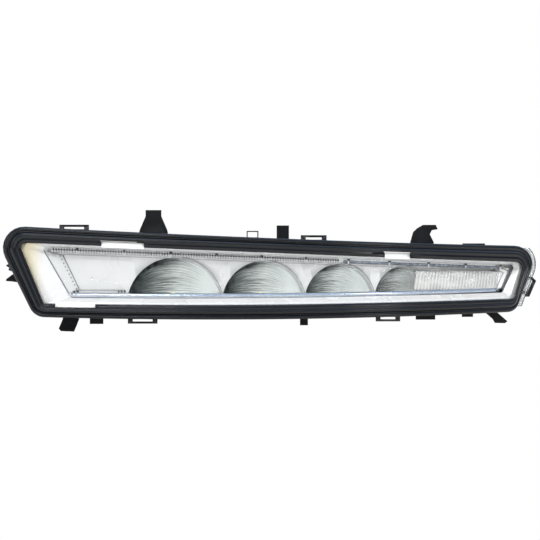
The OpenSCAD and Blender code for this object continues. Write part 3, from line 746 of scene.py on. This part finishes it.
@dataclass
class Workshop:
    """Makes new pieces with mesh operators and hands them to the lamp."""

    dresser: Dresser
    look_ahead: float = 0.001

    def finish(self, name: str, shape: Shape, finish: AnyFinish, slot: str,
               smooth: bool = True) -> bpy.types.Object:
        """Turn a shape into a piece of the lamp.

        Args:
            name: Name of the piece.
            shape: The shape, freed here.
            finish: Its finish.
            slot: The record's slot for it; not used.
            smooth: Whether its faces are shaded smoothly.

        Returns:
            The piece.
        """
        mesh = bpy.data.meshes.new(name)
        shape.to_mesh(mesh)
        shape.free()
        mesh.polygons.foreach_set("use_smooth", [smooth] * len(mesh.polygons))
        mesh.materials.append(self.dresser.material(finish))
        piece = bpy.data.objects.new(name, mesh)
        bpy.context.scene.collection.objects.link(piece)
        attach(piece, "root")
        LOG.info("made %s with %d faces", name, len(mesh.polygons))
        return piece

    def sheet(self, cells: tuple[int, int], put: Callable[[float, float], Vector],
              thickness: float) -> Shape:
        """Shape a grid into a thin curved wall with its own UV map.

        Args:
            cells: Number of cells each way.
            put: Gives the point for the two shares of the way across.
            thickness: Thickness of the wall, behind the shaped side.

        Returns:
            The wall.
        """
        shape = bmesh.new()
        layer = shape.loops.layers.uv.new("sheet")
        bmesh.ops.create_grid(shape, x_segments=cells[0], y_segments=cells[1], size=1)
        for face in shape.faces:
            for loop in face.loops:
                loop[layer].uv = ((loop.vert.co.x + 1) / 2, (loop.vert.co.y + 1) / 2)
        for vert in shape.verts:
            vert.co = put((vert.co.x + 1) / 2, (vert.co.y + 1) / 2)
        shape.normal_update()
        middle = sum((f.normal for f in shape.faces), Vector())
        if middle.y > 0:
            bmesh.ops.reverse_faces(shape, faces=shape.faces)
        bmesh.ops.solidify(shape, geom=shape.faces[:], thickness=thickness)
        bmesh.ops.recalc_face_normals(shape, faces=shape.faces)
        return shape

    def rod(self, cuts: int, path: Path, radius: float, segments: int = 10) -> Shape:
        """Bend a cylinder along a path.

        Args:
            cuts: Number of cuts along the rod.
            path: Gives the point for the share of the way along.
            radius: Radius of the rod.
            segments: Number of sides.

        Returns:
            The rod.
        """
        shape = bmesh.new()
        bmesh.ops.create_cone(shape, cap_ends=True, segments=segments, radius1=1, radius2=1,
                              depth=2)
        long = [e for e in shape.edges if abs(e.verts[0].co.z - e.verts[1].co.z) > 1]
        bmesh.ops.subdivide_edges(shape, edges=long, cuts=cuts, use_grid_fill=True)
        for vert in shape.verts:
            share = (vert.co.z + 1) / 2
            here = path(share)
            next_one = path(min(1.0, share + self.look_ahead))
            ahead = (next_one - path(max(0.0, share - self.look_ahead))).normalized()
            side = ahead.cross(Vector((0, -1, 0))).normalized()
            up = side.cross(ahead)
            vert.co = here + radius * (vert.co.x * side + vert.co.y * up)
        bmesh.ops.recalc_face_normals(shape, faces=shape.faces)
        return shape

    def lugs(self, places: list[Matrix], size: Taper, segments: int) -> Shape:
        """Set small tapered lugs at many places.

        Args:
            places: Frame of each lug, whose +Z runs out of its face.
            size: Radius at the foot, radius at the head, and height.
            segments: Number of sides.

        Returns:
            All the lugs.
        """
        shape = bmesh.new()
        for place in places:
            bmesh.ops.create_cone(shape, cap_ends=True, segments=segments, radius1=size[0],
                                  radius2=size[1], depth=size[2], matrix=place)
        bmesh.ops.recalc_face_normals(shape, faces=shape.faces)
        return shape


@dataclass
class Assembly:
    """Sub-assembly whose pieces are all made in one workshop."""

    shop: Workshop


@dataclass
class SmoothShells(Assembly):
    """Merged and smoothly shaded copies that stand for moulded CAD nodes."""

    angles: dict[str, float] = field(default_factory=lambda: {
        "surround_frame": 38.0, "inner_bezel": 24.0, "reflector": 22.0, "outer_lens": 30.0,
        "rear_housing": 26.0, "end_flange": 30.0})
    merge: float = 0.002 * MM

    def build(self, nodes: dict[str, bpy.types.Object],
              finishes: dict[str, AnyFinish], slots: dict[str, str]) -> None:
        """Make the copies.

        Args:
            nodes: The CAD nodes.
            finishes: Finish of each node.
            slots: The record's slot of each node.
        """
        for node, angle in self.angles.items():
            shape = bmesh.new()
            shape.from_mesh(nodes[node].data)
            bmesh.ops.remove_doubles(shape, verts=shape.verts, dist=self.merge)
            bmesh.ops.dissolve_degenerate(shape, edges=shape.edges, dist=self.merge)
            piece = self.shop.finish(f"{node}_shell", shape, finishes[node], slots[node])
            piece.data.set_sharp_from_angle(angle=math.radians(angle))
            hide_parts(node)


@dataclass
class Bowls(Assembly):
    """Fluted linings of the four half-dome bowls."""

    start: float = 45.5 * MM
    width: float = 78 * MM
    less: float = 7.5 * MM
    deep: float = 28 * MM
    rise: float = 4 * MM
    face: float = 16 * MM
    rim: float = 19.6 * MM
    floor: float = -14.2 * MM
    shelf: float = 12.7 * MM
    gap: float = 0.8 * MM
    head: float = 0.5 * MM
    inset: float = 0.45 * MM
    wall: float = 0.2 * MM
    flutes: int = BOWL_FLUTES
    flute_rows: int = 8
    columns: int = 64
    flattest: float = 0.004
    relief: float = 0.55 * MM
    shade_line_out: float = 0.6 * MM
    shade_line_r: float = 0.26 * MM
    shade_line_top: float = math.radians(84)
    shade_line_cuts: int = 24
    count: int = 4

    def left(self, index: int) -> float:
        """Arc length from the frontmost line to a bowl's inner side."""
        return self.start + sum(self.width - self.less * k for k in range(index))

    def build(self) -> None:
        """Make the linings, and the dark lines of painted shade round the bowls' outer sides."""
        for index in range(self.count):
            number = index + 1
            self.shop.finish(f"bowl_lining_{number}", self.lining(index), FLUTED_METAL,
                             "metallised")
            self.shop.finish(f"bowl_shade_line_{number}", self.shade_line(index), SHADE_LINE_GREY, "housing_black")

    def circle(self, index: int) -> tuple[float, float, float, float]:
        """Measure the circle that a bowl's mouth is cut from.

        Args:
            index: Number of the bowl, from 0.

        Returns:
            Its angle round the sweep, half width, centre's height over the floor, and radius.
        """
        width = self.width - self.less * index
        radius = SPACE.sweep - self.face
        turn = (self.left(index) + width / 2) / radius
        across = radius * math.sin(turn) - SPACE.front
        high = self.shelf - LINES.fall * across - self.floor - self.head
        half = width / 2 - self.gap
        round_r = (half ** 2 + high ** 2) / (2 * high)
        return turn, half, high - round_r, round_r

    def shade_line(self, index: int) -> Shape:
        """Shape the dark line of painted shade round one bowl's outer side.

        Args:
            index: Number of the bowl, from 0.

        Returns:
            The line of painted shade.
        """
        turn, _, centre, round_r = self.circle(index)
        reach = round_r + self.shade_line_out
        foot = math.asin(-centre / reach)

        def path(share: float) -> Vector:
            """Find a point of the line.

            Args:
                share: Share of the way up.

            Returns:
                The point in the row's frame.
            """
            angle = foot + (self.shade_line_top - foot) * share
            return SPACE.turned(turn, Vector((reach * math.cos(angle), self.face - self.shade_line_r,
                                              self.floor + centre + reach * math.sin(angle))))

        return self.shop.rod(self.shade_line_cuts, path, self.shade_line_r)

    def lining(self, index: int) -> Shape:
        """Shape one lining, whose flutes fan out from the bowl's two lower corners.

        Args:
            index: Number of the bowl, from 0.

        Returns:
            The lining.
        """
        turn, half, centre, round_r = self.circle(index)
        high = centre + round_r
        deep = self.deep - self.rise * index

        def put(u: float, v: float) -> Vector:
            """Find a point of the lining.

            Args:
                u: Share of the way across.
                v: Share of the way up.

            Returns:
                The point in the row's frame.
            """
            swing = (u - 0.5) * math.pi
            x = (half - self.inset) * math.sin(swing)
            top = max(v, self.flattest) * (high - self.inset)
            arc_r = ((half - self.inset) ** 2 + top ** 2) / (2 * top)
            z = math.sqrt(max(0.0, arc_r ** 2 - x ** 2)) - (arc_r - top)
            share = min(1.0, (x ** 2 + (z - centre) ** 2) / round_r ** 2)
            flute = 0.0
            if 0 < u < 1:
                flute = abs(math.sin(math.pi * self.flutes * v)) * math.cos(swing) ** 0.5
            y = self.rim + deep * math.sqrt(1 - share) - self.inset - self.relief * flute
            return SPACE.turned(turn, Vector((x, y, self.floor + z)))

        return self.shop.sheet((self.columns, self.flutes * self.flute_rows), put, -self.wall)


@dataclass
class Lip(Assembly):
    """Painted shade along the serrated lip above the bowls: dark lugs in its recesses and clamp
    marks, and dark lines; also its band.
    """

    start: float = -17 * MM
    pitch: float = 2.2 * MM
    count: int = 110
    shift: float = 0.15
    depth: float = 11.4 * MM
    shelf: float = 12.7 * MM
    middle: float = 14.9 * MM
    recess_proud: float = 0.95 * MM
    recess: Taper = (0.84 * MM, 0.78 * MM, 1.2 * MM)
    first_mark: float = 4.2 * MM
    mark_pitch: float = 38 * MM
    marks: int = 11
    mark_proud: float = 1.3 * MM
    mark_rise: float = 0.9 * MM
    mark: Taper = (1.2 * MM, 0.8 * MM, 1.1 * MM)
    band_start: float = 228 * MM
    band_length: float = 156 * MM
    band_rise: float = 1.5 * MM
    band_proud: float = 0.1 * MM
    band_r: float = 0.95 * MM
    shade_line_end: float = 385 * MM
    shade_line_proud: float = 0.3 * MM
    # Rise over the shelf, and radius.
    shelf_shade_line: tuple[float, float] = (0.2 * MM, 0.3 * MM)
    shelf_line: tuple[float, float] = (-1.5 * MM, 0.22 * MM)

    def frame(self, arc: float, depth: float, z: float) -> Matrix:
        """Frame of a lug on the lip, which slopes with the lamp.

        Args:
            arc: Arc length from the frontmost line.
            depth: Depth behind the lens face.
            z: Height before the slope.

        Returns:
            The frame, whose +Z looks towards the front.
        """
        turn = arc / (SPACE.sweep - self.depth)
        radius = SPACE.sweep - depth
        flat = Vector((radius * math.sin(turn) - SPACE.front,
                       SPACE.sweep - radius * math.cos(turn), z))
        slope = Matrix.Rotation(math.atan(LINES.fall), 3, "Y")
        place = SPACE.origin + slope @ flat
        return (Matrix.Translation(place) @ Matrix.Rotation(turn, 4, "Z")
                @ Matrix.Rotation(math.radians(90), 4, "X"))

    def line(self, ends: tuple[float, float], proud: float, z: float) -> Path:
        """Follow the lip at an even height.

        Args:
            ends: Arc lengths of the two ends.
            proud: Distance before the lip's depth.
            z: Height before the slope.

        Returns:
            The path.
        """
        start, end = ends
        return lambda t: self.frame(start + (end - start) * t, self.depth - proud, z).translation

    def build(self) -> None:
        """Make the dark lugs of painted shade in the recesses and marks, the band, and the painted
        shade lines.
        """
        # Near-black lugs paint the shade in the lip's recesses.
        recesses = [self.frame(self.start + self.pitch * (k - self.shift),
                               self.depth - self.recess_proud, self.middle)
                    for k in range(1, self.count)]
        self.shop.finish("lip_recesses", self.shop.lugs(recesses, self.recess, 8), SHADOW_BLACK,
                         "housing_black", smooth=False)
        # Near-black lugs paint the shade in the clamp marks.
        marks = [self.frame(self.first_mark + self.mark_pitch * k, self.depth - self.mark_proud,
                            self.middle + self.mark_rise) for k in range(self.marks)]
        self.shop.finish("lip_marks", self.shop.lugs(marks, self.mark, 12), SHADOW_BLACK,
                         "housing_black")
        band = self.line((self.band_start, self.band_start + self.band_length), self.band_proud,
                         self.shelf + self.band_rise)
        self.shop.finish("lip_band", self.shop.rod(40, band, self.band_r), BAND_METAL, "metallised")
        # Thin dark lines of painted shade along the shelf.
        for name, (rise, radius) in (("shelf_shade_line", self.shelf_shade_line),
                                     ("shelf_line", self.shelf_line)):
            shade_line = self.line((self.start, self.shade_line_end), self.shade_line_proud, self.shelf + rise)
            self.shop.finish(name, self.shop.rod(60, shade_line, radius), SHADE_LINE_GREY, "housing_black")


def polyline(corners: Sequence[Point], depth: float) -> Path:
    """Follow straight lines from corner to corner, at one depth behind the lens face.

    Args:
        corners: Corners seen from the front, along and up, in millimetres.
        depth: Depth along the sweep's radius.

    Returns:
        The path.
    """
    def path(share: float) -> Vector:
        """Find a point of the path.

        Args:
            share: Share of the way along, with the same share for each line.

        Returns:
            The point in the row's frame.
        """
        step = share * (len(corners) - 1)
        index = min(int(step), len(corners) - 2)
        part = step - index
        (x0, z0), (x1, z1) = corners[index], corners[index + 1]
        return SPACE.radial((x0 + (x1 - x0) * part) * MM, depth, (z0 + (z1 - z0) * part) * MM)

    return path


@dataclass(frozen=True)
class Edge:
    """Straight edge of an end wall, with its place at the centreline and its lean."""

    x: float
    lean: float
    low: float
    tall: float
    depth: float

    def point(self, share: float) -> Point:
        """Find a point of the edge, seen from the front.

        Args:
            share: Share of the way up.

        Returns:
            Its places along and up.
        """
        z = self.low + self.tall * share
        return self.x + self.lean * z, z


@dataclass(frozen=True)
class EndWall:
    """Flat sloping wall between two edges."""

    first: Edge
    second: Edge
    cells: tuple[int, int]
    thickness: float = 0.2 * MM

    def put(self, u: float, v: float) -> Vector:
        """Find a point of the wall.

        Args:
            u: Share of the way from the first edge to the second.
            v: Share of the way up.

        Returns:
            The point in the row's frame.
        """
        (x0, z0), (x1, z1) = self.first.point(v), self.second.point(v)
        depth = self.first.depth + (self.second.depth - self.first.depth) * u
        return SPACE.radial(x0 + (x1 - x0) * u, depth, z0 + (z1 - z0) * u)

    def shape(self, workshop: Workshop) -> Shape:
        """Shape the wall in the workshop."""
        return workshop.sheet(self.cells, self.put, -self.thickness)


@dataclass(frozen=True)
class Land:
    """Frosted strip behind a tab of the lens."""

    middle: float
    width: float
    height: float
    side: int
    inset: float = 1.2 * MM
    depth: float = 2.2 * MM
    thickness: float = 0.1 * MM
    cells: tuple[int, int] = (24, 4)

    def put(self, u: float, v: float) -> Vector:
        """Find a point of the strip.

        Args:
            u: Share of the way along.
            v: Share of the way out across the window's edge.

        Returns:
            The point in the row's frame.
        """
        x = self.middle + (u - 0.5) * self.width
        z = LINES.window_edge(x, self.side) + self.side * (self.height * v - self.inset)
        return SPACE.radial(x, self.depth, z)

    def shape(self, workshop: Workshop) -> Shape:
        """Shape the strip in the workshop."""
        return workshop.sheet(self.cells, self.put, -self.thickness)


@dataclass
class Trim(Assembly):
    """Bright bar, dark lines of painted shade, end walls and frosted lands round the trough."""

    shade_line_r: float = 0.34 * MM
    bar_r: float = 1.9 * MM
    bar_ends: tuple[float, float] = (-160 * MM, 190 * MM)
    # Depth behind the lens face, and rise over the trough's lower edge.
    bar: tuple[float, float] = (11.3 * MM, 2.1 * MM)
    bar_shade_line: tuple[float, float] = (10.8 * MM, 0.15 * MM)
    inner_wall: EndWall = EndWall(
        Edge(-170 * MM, -math.tan(math.radians(30.3)), -14.5 * MM, 35 * MM, 12.7 * MM),
        Edge(-158.6 * MM, -0.478, -11 * MM, 28 * MM, 15.8 * MM), (8, 24))
    outer_wall: EndWall = EndWall(
        Edge(185.6 * MM, 0.0, -10.6 * MM, 17.4 * MM, 13.6 * MM),
        Edge(194.3 * MM, 0.439, -10.6 * MM, 17.4 * MM, 11.1 * MM), (6, 10))
    shade_line_proud: float = 0.3 * MM
    recess_proud: float = 0.2 * MM
    recess: Taper = (0.62 * MM, 0.5 * MM, 0.5 * MM)
    recess_share: float = 0.8
    recesses: int = 10
    plate_depth: float = 13 * MM
    # Painted shade lines and edges that run from corner to corner are told in millimetres.
    plate_edge: tuple[Point, ...] = ((-156, -11.5), (-116, -11.5))
    stud: Taper = (0.9 * MM, 0.6 * MM, 0.8 * MM)
    stud_depth: float = 12.9 * MM
    stud_height: float = -12.6 * MM
    studs: tuple[float, ...] = (-157.5 * MM, -154.5 * MM, -121.5 * MM, -119 * MM, -116.5 * MM)
    chevron_depth: float = 10.6 * MM
    chevrons: tuple[tuple[Point, ...], ...] = (
        ((186, 8.6), (197.6, 3.4)), ((197.6, 3.4), (190.8, -11.2)),
        ((184.5, 6.4), (192, 2.6)), ((192, 2.6), (186.6, -9.4)))
    flange_r: float = 0.34 * MM
    flange_depth: float = 1.5 * MM
    flange_edge: tuple[Point, ...] = (
        (213.2, 22.6), (215.7, 19.7), (217.2, 16.8), (217.9, 14.8), (218.6, 11.7),
        (218.6, 9.5), (218.3, 6.3), (217.5, 3), (216.6, 0.8), (206.9, -24.6))
    lands: tuple[Land, ...] = (Land(-118.2 * MM, 34.6 * MM, 4.7 * MM, 1),
                               Land(104.9 * MM, 20.6 * MM, 4.9 * MM, 1),
                               Land(-156.6 * MM, 32.6 * MM, 3.9 * MM, -1))

    def build(self) -> None:
        """Make the trim."""
        self.shop.finish("light_bar", self.shop.rod(60, self.low_line(*self.bar), self.bar_r, 14),
                         BAR_METAL, "metallised")
        # A dark line of painted shade under the bar.
        self.shade_line("bar_shade_line", self.low_line(*self.bar_shade_line), 60)
        self.inner_end()
        self.shop.finish("outer_wall", self.outer_wall.shape(self.shop), FROSTED, "metallised")
        # The chevrons are dark lines of painted shade at the outer end.
        for number, corners in enumerate(self.chevrons, 1):
            self.shade_line(f"chevron_{number}", polyline(corners, self.chevron_depth), 8)
        # A dark rod paints the shade along the clear strip's outer edge.
        edge = self.shop.rod(35, polyline(self.flange_edge, self.flange_depth), self.flange_r)
        self.shop.finish("flange_edge", edge, SHADOW_BLACK, "clear_optic")
        for number, land in enumerate(self.lands, 1):
            self.shop.finish(f"lens_land_{number}", land.shape(self.shop), FROSTED, "clear_cover")

    def low_line(self, depth: float, rise: float) -> Path:
        """Follow the trough's lower edge.

        Args:
            depth: Depth behind the lens face.
            rise: Height above the edge.

        Returns:
            The path, over the bar's length.
        """
        def path(share: float) -> Vector:
            """Find a point of the path.

            Args:
                share: Share of the way along.

            Returns:
                The point in the row's frame.
            """
            start, end = self.bar_ends
            x = start + (end - start) * share
            return SPACE.radial(x, depth, LINES.trough_bottom(x) + rise)

        return path

    def shade_line(self, name: str, path: Path, cuts: int) -> None:
        """Make a thin dark line of painted shade.

        Args:
            name: Name of the seam.
            path: Path that it follows.
            cuts: Number of cuts along it.
        """
        self.shop.finish(name, self.shop.rod(cuts, path, self.shade_line_r), SHADE_LINE_GREY, "housing_black")

    def inner_end(self) -> None:
        """Make the wall at the trough's inner end, with its dark lines, recesses and studs of
        painted shade.
        """
        wall = self.inner_wall
        self.shop.finish("end_wall", wall.shape(self.shop), REFLECTOR_METAL, "metallised")
        # Dark lines of painted shade along both edges of the wall, and along the plate's edge.
        for name, share in (("outer_shade_line", 0.0), ("inner_shade_line", 1.0)):
            self.shade_line(name,
                      lambda t, u=share: wall.put(u, t) - Vector((0, self.shade_line_proud, 0)), 20)
        self.shade_line("plate_edge", polyline(self.plate_edge, self.plate_depth), 12)
        face = Matrix.Rotation(math.radians(90), 4, "X")
        # Near-black studs paint the shade of the dark spots on the plate.
        studs = [Matrix.Translation(SPACE.radial(x, self.stud_depth, self.stud_height)) @ face
                 for x in self.studs]
        self.shop.finish("plate_studs", self.shop.lugs(studs, self.stud, 8), SHADOW_BLACK,
                         "housing_black")
        # Near-black lugs paint the shade in the wall's recesses.
        proud = Vector((0, self.recess_proud, 0))
        recesses = [Matrix.Translation(wall.put(self.recess_share, (k + 0.5) / self.recesses)
                                       - proud) @ face for k in range(self.recesses)]
        self.shop.finish("end_wall_recesses", self.shop.lugs(recesses, self.recess, 8),
                         SHADOW_BLACK, "housing_black", smooth=False)


@dataclass
class Optic(Assembly):
    """Upright flutes of the clear insert at the outer end."""

    start: float = 292 * MM
    pitch: float = 3.2 * MM
    count: int = INSERT_FLUTES
    low: float = -12 * MM
    high: float = 4 * MM
    lean: float = 3 * MM
    crest: float = 13.4 * MM
    relief: float = 1 * MM
    thickness: float = 1.4 * MM
    face: float = 16 * MM
    flute_columns: int = 8
    rows: int = 6

    def put(self, u: float, v: float) -> Vector:
        """Find a point of the fluted side.

        Args:
            u: Share of the way along.
            v: Share of the way up.

        Returns:
            The point in the row's frame.
        """
        arc = self.start + self.pitch * self.count * u + self.lean * v
        depth = self.crest + self.relief * (1 - abs(math.cos(math.pi * self.count * u)))
        return SPACE.along(arc, depth, self.low + (self.high - self.low) * v, self.face)

    def build(self) -> None:
        """Make the insert, which replaces its plain CAD node."""
        shape = self.shop.sheet((self.count * self.flute_columns, self.rows), self.put,
                                -self.thickness)
        piece = self.shop.finish("fluted_insert", shape, FLUTED_CLEAR, "clear_optic")
        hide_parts("flute_optic")


@dataclass(frozen=True)
class SoftLamp:
    """Soft rectangular lamp, hung at an offset from what it faces."""

    name: str
    offset: tuple[float, float, float]
    size: tuple[float, float]
    power: float

    def hang(self, aim: Vector) -> None:
        """Hang the lamp.

        Args:
            aim: The point that it faces.
        """
        data = bpy.data.lights.new(self.name, "AREA")
        data.shape = "RECTANGLE"
        data.size, data.size_y = self.size
        data.energy = self.power
        lamp = bpy.data.objects.new(self.name, data)
        lamp.location = aim + Vector(self.offset)
        lamp.rotation_euler = (aim - lamp.location).to_track_quat("-Z", "Y").to_euler()
        bpy.context.scene.collection.objects.link(lamp)


@dataclass
class Studio:
    """Camera, floor, lamps and pale surroundings."""

    distance: float = 15.0
    span: float = 437.4 * MM
    sensor: float = 36
    clip: tuple[float, float] = (1.0, 60.0)
    aim: Vector = field(default_factory=lambda: Vector((94.5, -26.2, -47.1)) * MM)
    floor_size: float = 8.0
    floor_gap: float = 0.5 * MM
    floor_tones: tuple[Colour, Colour] = ((0.87, 0.87, 0.87), (0.89, 0.89, 0.89))
    floor_glow: float = 0.93
    fill: float = 1.3
    low_gloss: Colour = (0.02, 0.024, 0.03)
    high_gloss: Colour = (0.75, 0.95, 1.22)
    gloss_rise: float = 0.6
    lamps: tuple[SoftLamp, ...] = (SoftLamp("top_lamp", (0, -2.4, 1.7), (1.8, 0.35), 30),
                                   SoftLamp("high_lamp", (0, -0.2, 1.6), (1.6, 0.16), 5),
                                   SoftLamp("left_lamp", (-1.4, -0.9, 0.4), (0.2, 1.2), 5),
                                   SoftLamp("right_lamp", (1.5, -0.8, 0.3), (0.2, 1.2), 4))

    def camera(self) -> None:
        """Stand the camera far in front, where the photograph was taken from."""
        data = bpy.data.cameras.new("front_camera")
        data.sensor_width = self.sensor
        data.lens = self.sensor * self.distance / self.span
        data.clip_start, data.clip_end = self.clip
        camera = bpy.data.objects.new("front_camera", data)
        bpy.context.scene.collection.objects.link(camera)
        camera.location = self.aim - Vector((0, self.distance, 0))
        camera.rotation_euler = (math.radians(90), 0, 0)
        bpy.context.scene.camera = camera

    def floor(self, lowest: float) -> None:
        """Lay the pale floor under the lamp.

        Args:
            lowest: Height of the lamp's lowest point.
        """
        mesh = bpy.data.meshes.new("floor")
        shape = bmesh.new()
        bmesh.ops.create_grid(shape, x_segments=1, y_segments=1, size=self.floor_size / 2)
        bmesh.ops.translate(shape, verts=shape.verts, vec=(self.aim.x, 0, lowest - self.floor_gap))
        shape.to_mesh(mesh)
        shape.free()
        floor = bpy.data.objects.new("floor", mesh)
        bpy.context.scene.collection.objects.link(floor)
        mesh.materials.append(self.floor_paint())
        floor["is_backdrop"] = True

    def floor_paint(self) -> bpy.types.Material:
        """Make the floor's pale paint, which the camera sees nearly white.

        Returns:
            The paint.
        """
        wiring = Wiring("floor_paint")
        paint = wiring.add("ShaderNodeBsdfDiffuse")
        wiring.join(wiring.tint(wiring.noise(2.0), *self.floor_tones), paint.inputs["Color"])
        glow = wiring.add("ShaderNodeEmission")
        mix = wiring.add("ShaderNodeMixShader")
        seen = wiring.add("ShaderNodeLightPath").outputs["Is Camera Ray"]
        wiring.join(wiring.maths("MULTIPLY", seen, self.floor_glow), mix.inputs["Fac"])
        wiring.join(paint.outputs[0], mix.inputs[1])
        wiring.join(glow.outputs[0], mix.inputs[2])
        out = next(n for n in wiring.tree.nodes if n.type == "OUTPUT_MATERIAL")
        wiring.join(mix.outputs[0], out.inputs["Surface"])
        wiring.tree.nodes.remove(wiring.shader)
        return wiring.material

    def surroundings(self) -> None:
        """Light the scene evenly, with white for the camera and glass, and a sky for gloss."""
        world = bpy.data.worlds.new("studio")
        world.use_nodes = True
        bpy.context.scene.world = world
        tree = world.node_tree
        tree.nodes.clear()
        rays = tree.nodes.new("ShaderNodeLightPath").outputs
        gloss = self.backdrop(tree, 1.0)
        tree.links.new(self.sky(tree), gloss.inputs["Color"])
        either = tree.nodes.new("ShaderNodeMath")
        either.operation = "MAXIMUM"
        tree.links.new(rays["Is Camera Ray"], either.inputs[0])
        tree.links.new(rays["Is Transmission Ray"], either.inputs[1])
        soft = self.mixed_light(tree, rays["Is Glossy Ray"], self.backdrop(tree, self.fill), gloss)
        final = self.mixed_light(tree, either.outputs[0], soft, self.backdrop(tree, 1.0))
        out = tree.nodes.new("ShaderNodeOutputWorld")
        tree.links.new(final.outputs[0], out.inputs["Surface"])
        bpy.context.scene.view_settings.view_transform = "Standard"

    def sky(self, tree: bpy.types.NodeTree) -> Socket:
        """Add the sky that gloss shows, dark at the level of the eye and pale above.

        Args:
            tree: The world's node tree.

        Returns:
            The sky's colour.
        """
        split = tree.nodes.new("ShaderNodeSeparateXYZ")
        tree.links.new(tree.nodes.new("ShaderNodeTexCoord").outputs["Generated"], split.inputs[0])
        height = tree.nodes.new("ShaderNodeMapRange")
        height.inputs["From Min"].default_value = 0.0
        height.inputs["From Max"].default_value = self.gloss_rise
        tree.links.new(split.outputs["Z"], height.inputs["Value"])
        sky = tree.nodes.new("ShaderNodeMix")
        sky.data_type = "RGBA"
        sky.inputs["A"].default_value = (*self.low_gloss, 1)
        sky.inputs["B"].default_value = (*self.high_gloss, 1)
        tree.links.new(height.outputs["Result"], sky.inputs["Factor"])
        return sky.outputs["Result"]

    def backdrop(self, tree: bpy.types.NodeTree, strength: float) -> bpy.types.Node:
        """Add an even white light to the world's tree.

        Args:
            tree: The world's node tree.
            strength: Strength of the light.

        Returns:
            The light's node.
        """
        node = tree.nodes.new("ShaderNodeBackground")
        node.inputs["Color"].default_value = (1, 1, 1, 1)
        node.inputs["Strength"].default_value = strength
        return node

    def mixed_light(self, tree: bpy.types.NodeTree, share: Socket,
                    first: bpy.types.Node, second: bpy.types.Node) -> bpy.types.Node:
        """Choose between two lights of the world by the kind of ray.

        Args:
            tree: The world's node tree.
            share: Share of the second light.
            first: First light.
            second: Second light.

        Returns:
            The mixing node.
        """
        node = tree.nodes.new("ShaderNodeMixShader")
        tree.links.new(share, node.inputs["Fac"])
        tree.links.new(first.outputs[0], node.inputs[1])
        tree.links.new(second.outputs[0], node.inputs[2])
        return node

    def build(self, lowest: float) -> None:
        """Set up the studio.

        Args:
            lowest: Height of the lamp's lowest point.
        """
        self.camera()
        self.floor(lowest)
        self.surroundings()
        for lamp in self.lamps:
            lamp.hang(self.aim)


def main() -> None:
    """Dress the lamp and set up the studio."""
    logging.basicConfig(level=logging.INFO, format="%(name)s: %(message)s")
    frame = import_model()
    cad_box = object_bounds()
    dresser = Dresser(frame["nodes"])
    body = Body()
    body.build(dresser)
    workshop = Workshop(dresser)
    slots = {part["node"]: part["material_slot"] for part in frame["record"]["subparts"]}
    SmoothShells(workshop).build(frame["nodes"], body.finishes, slots)
    Bowls(workshop).build()
    Lip(workshop).build()
    Trim(workshop).build()
    Optic(workshop).build()
    Studio().build(cad_box[0].z)
    LOG.info("studio is set up")


if __name__ == "__main__":
    main()
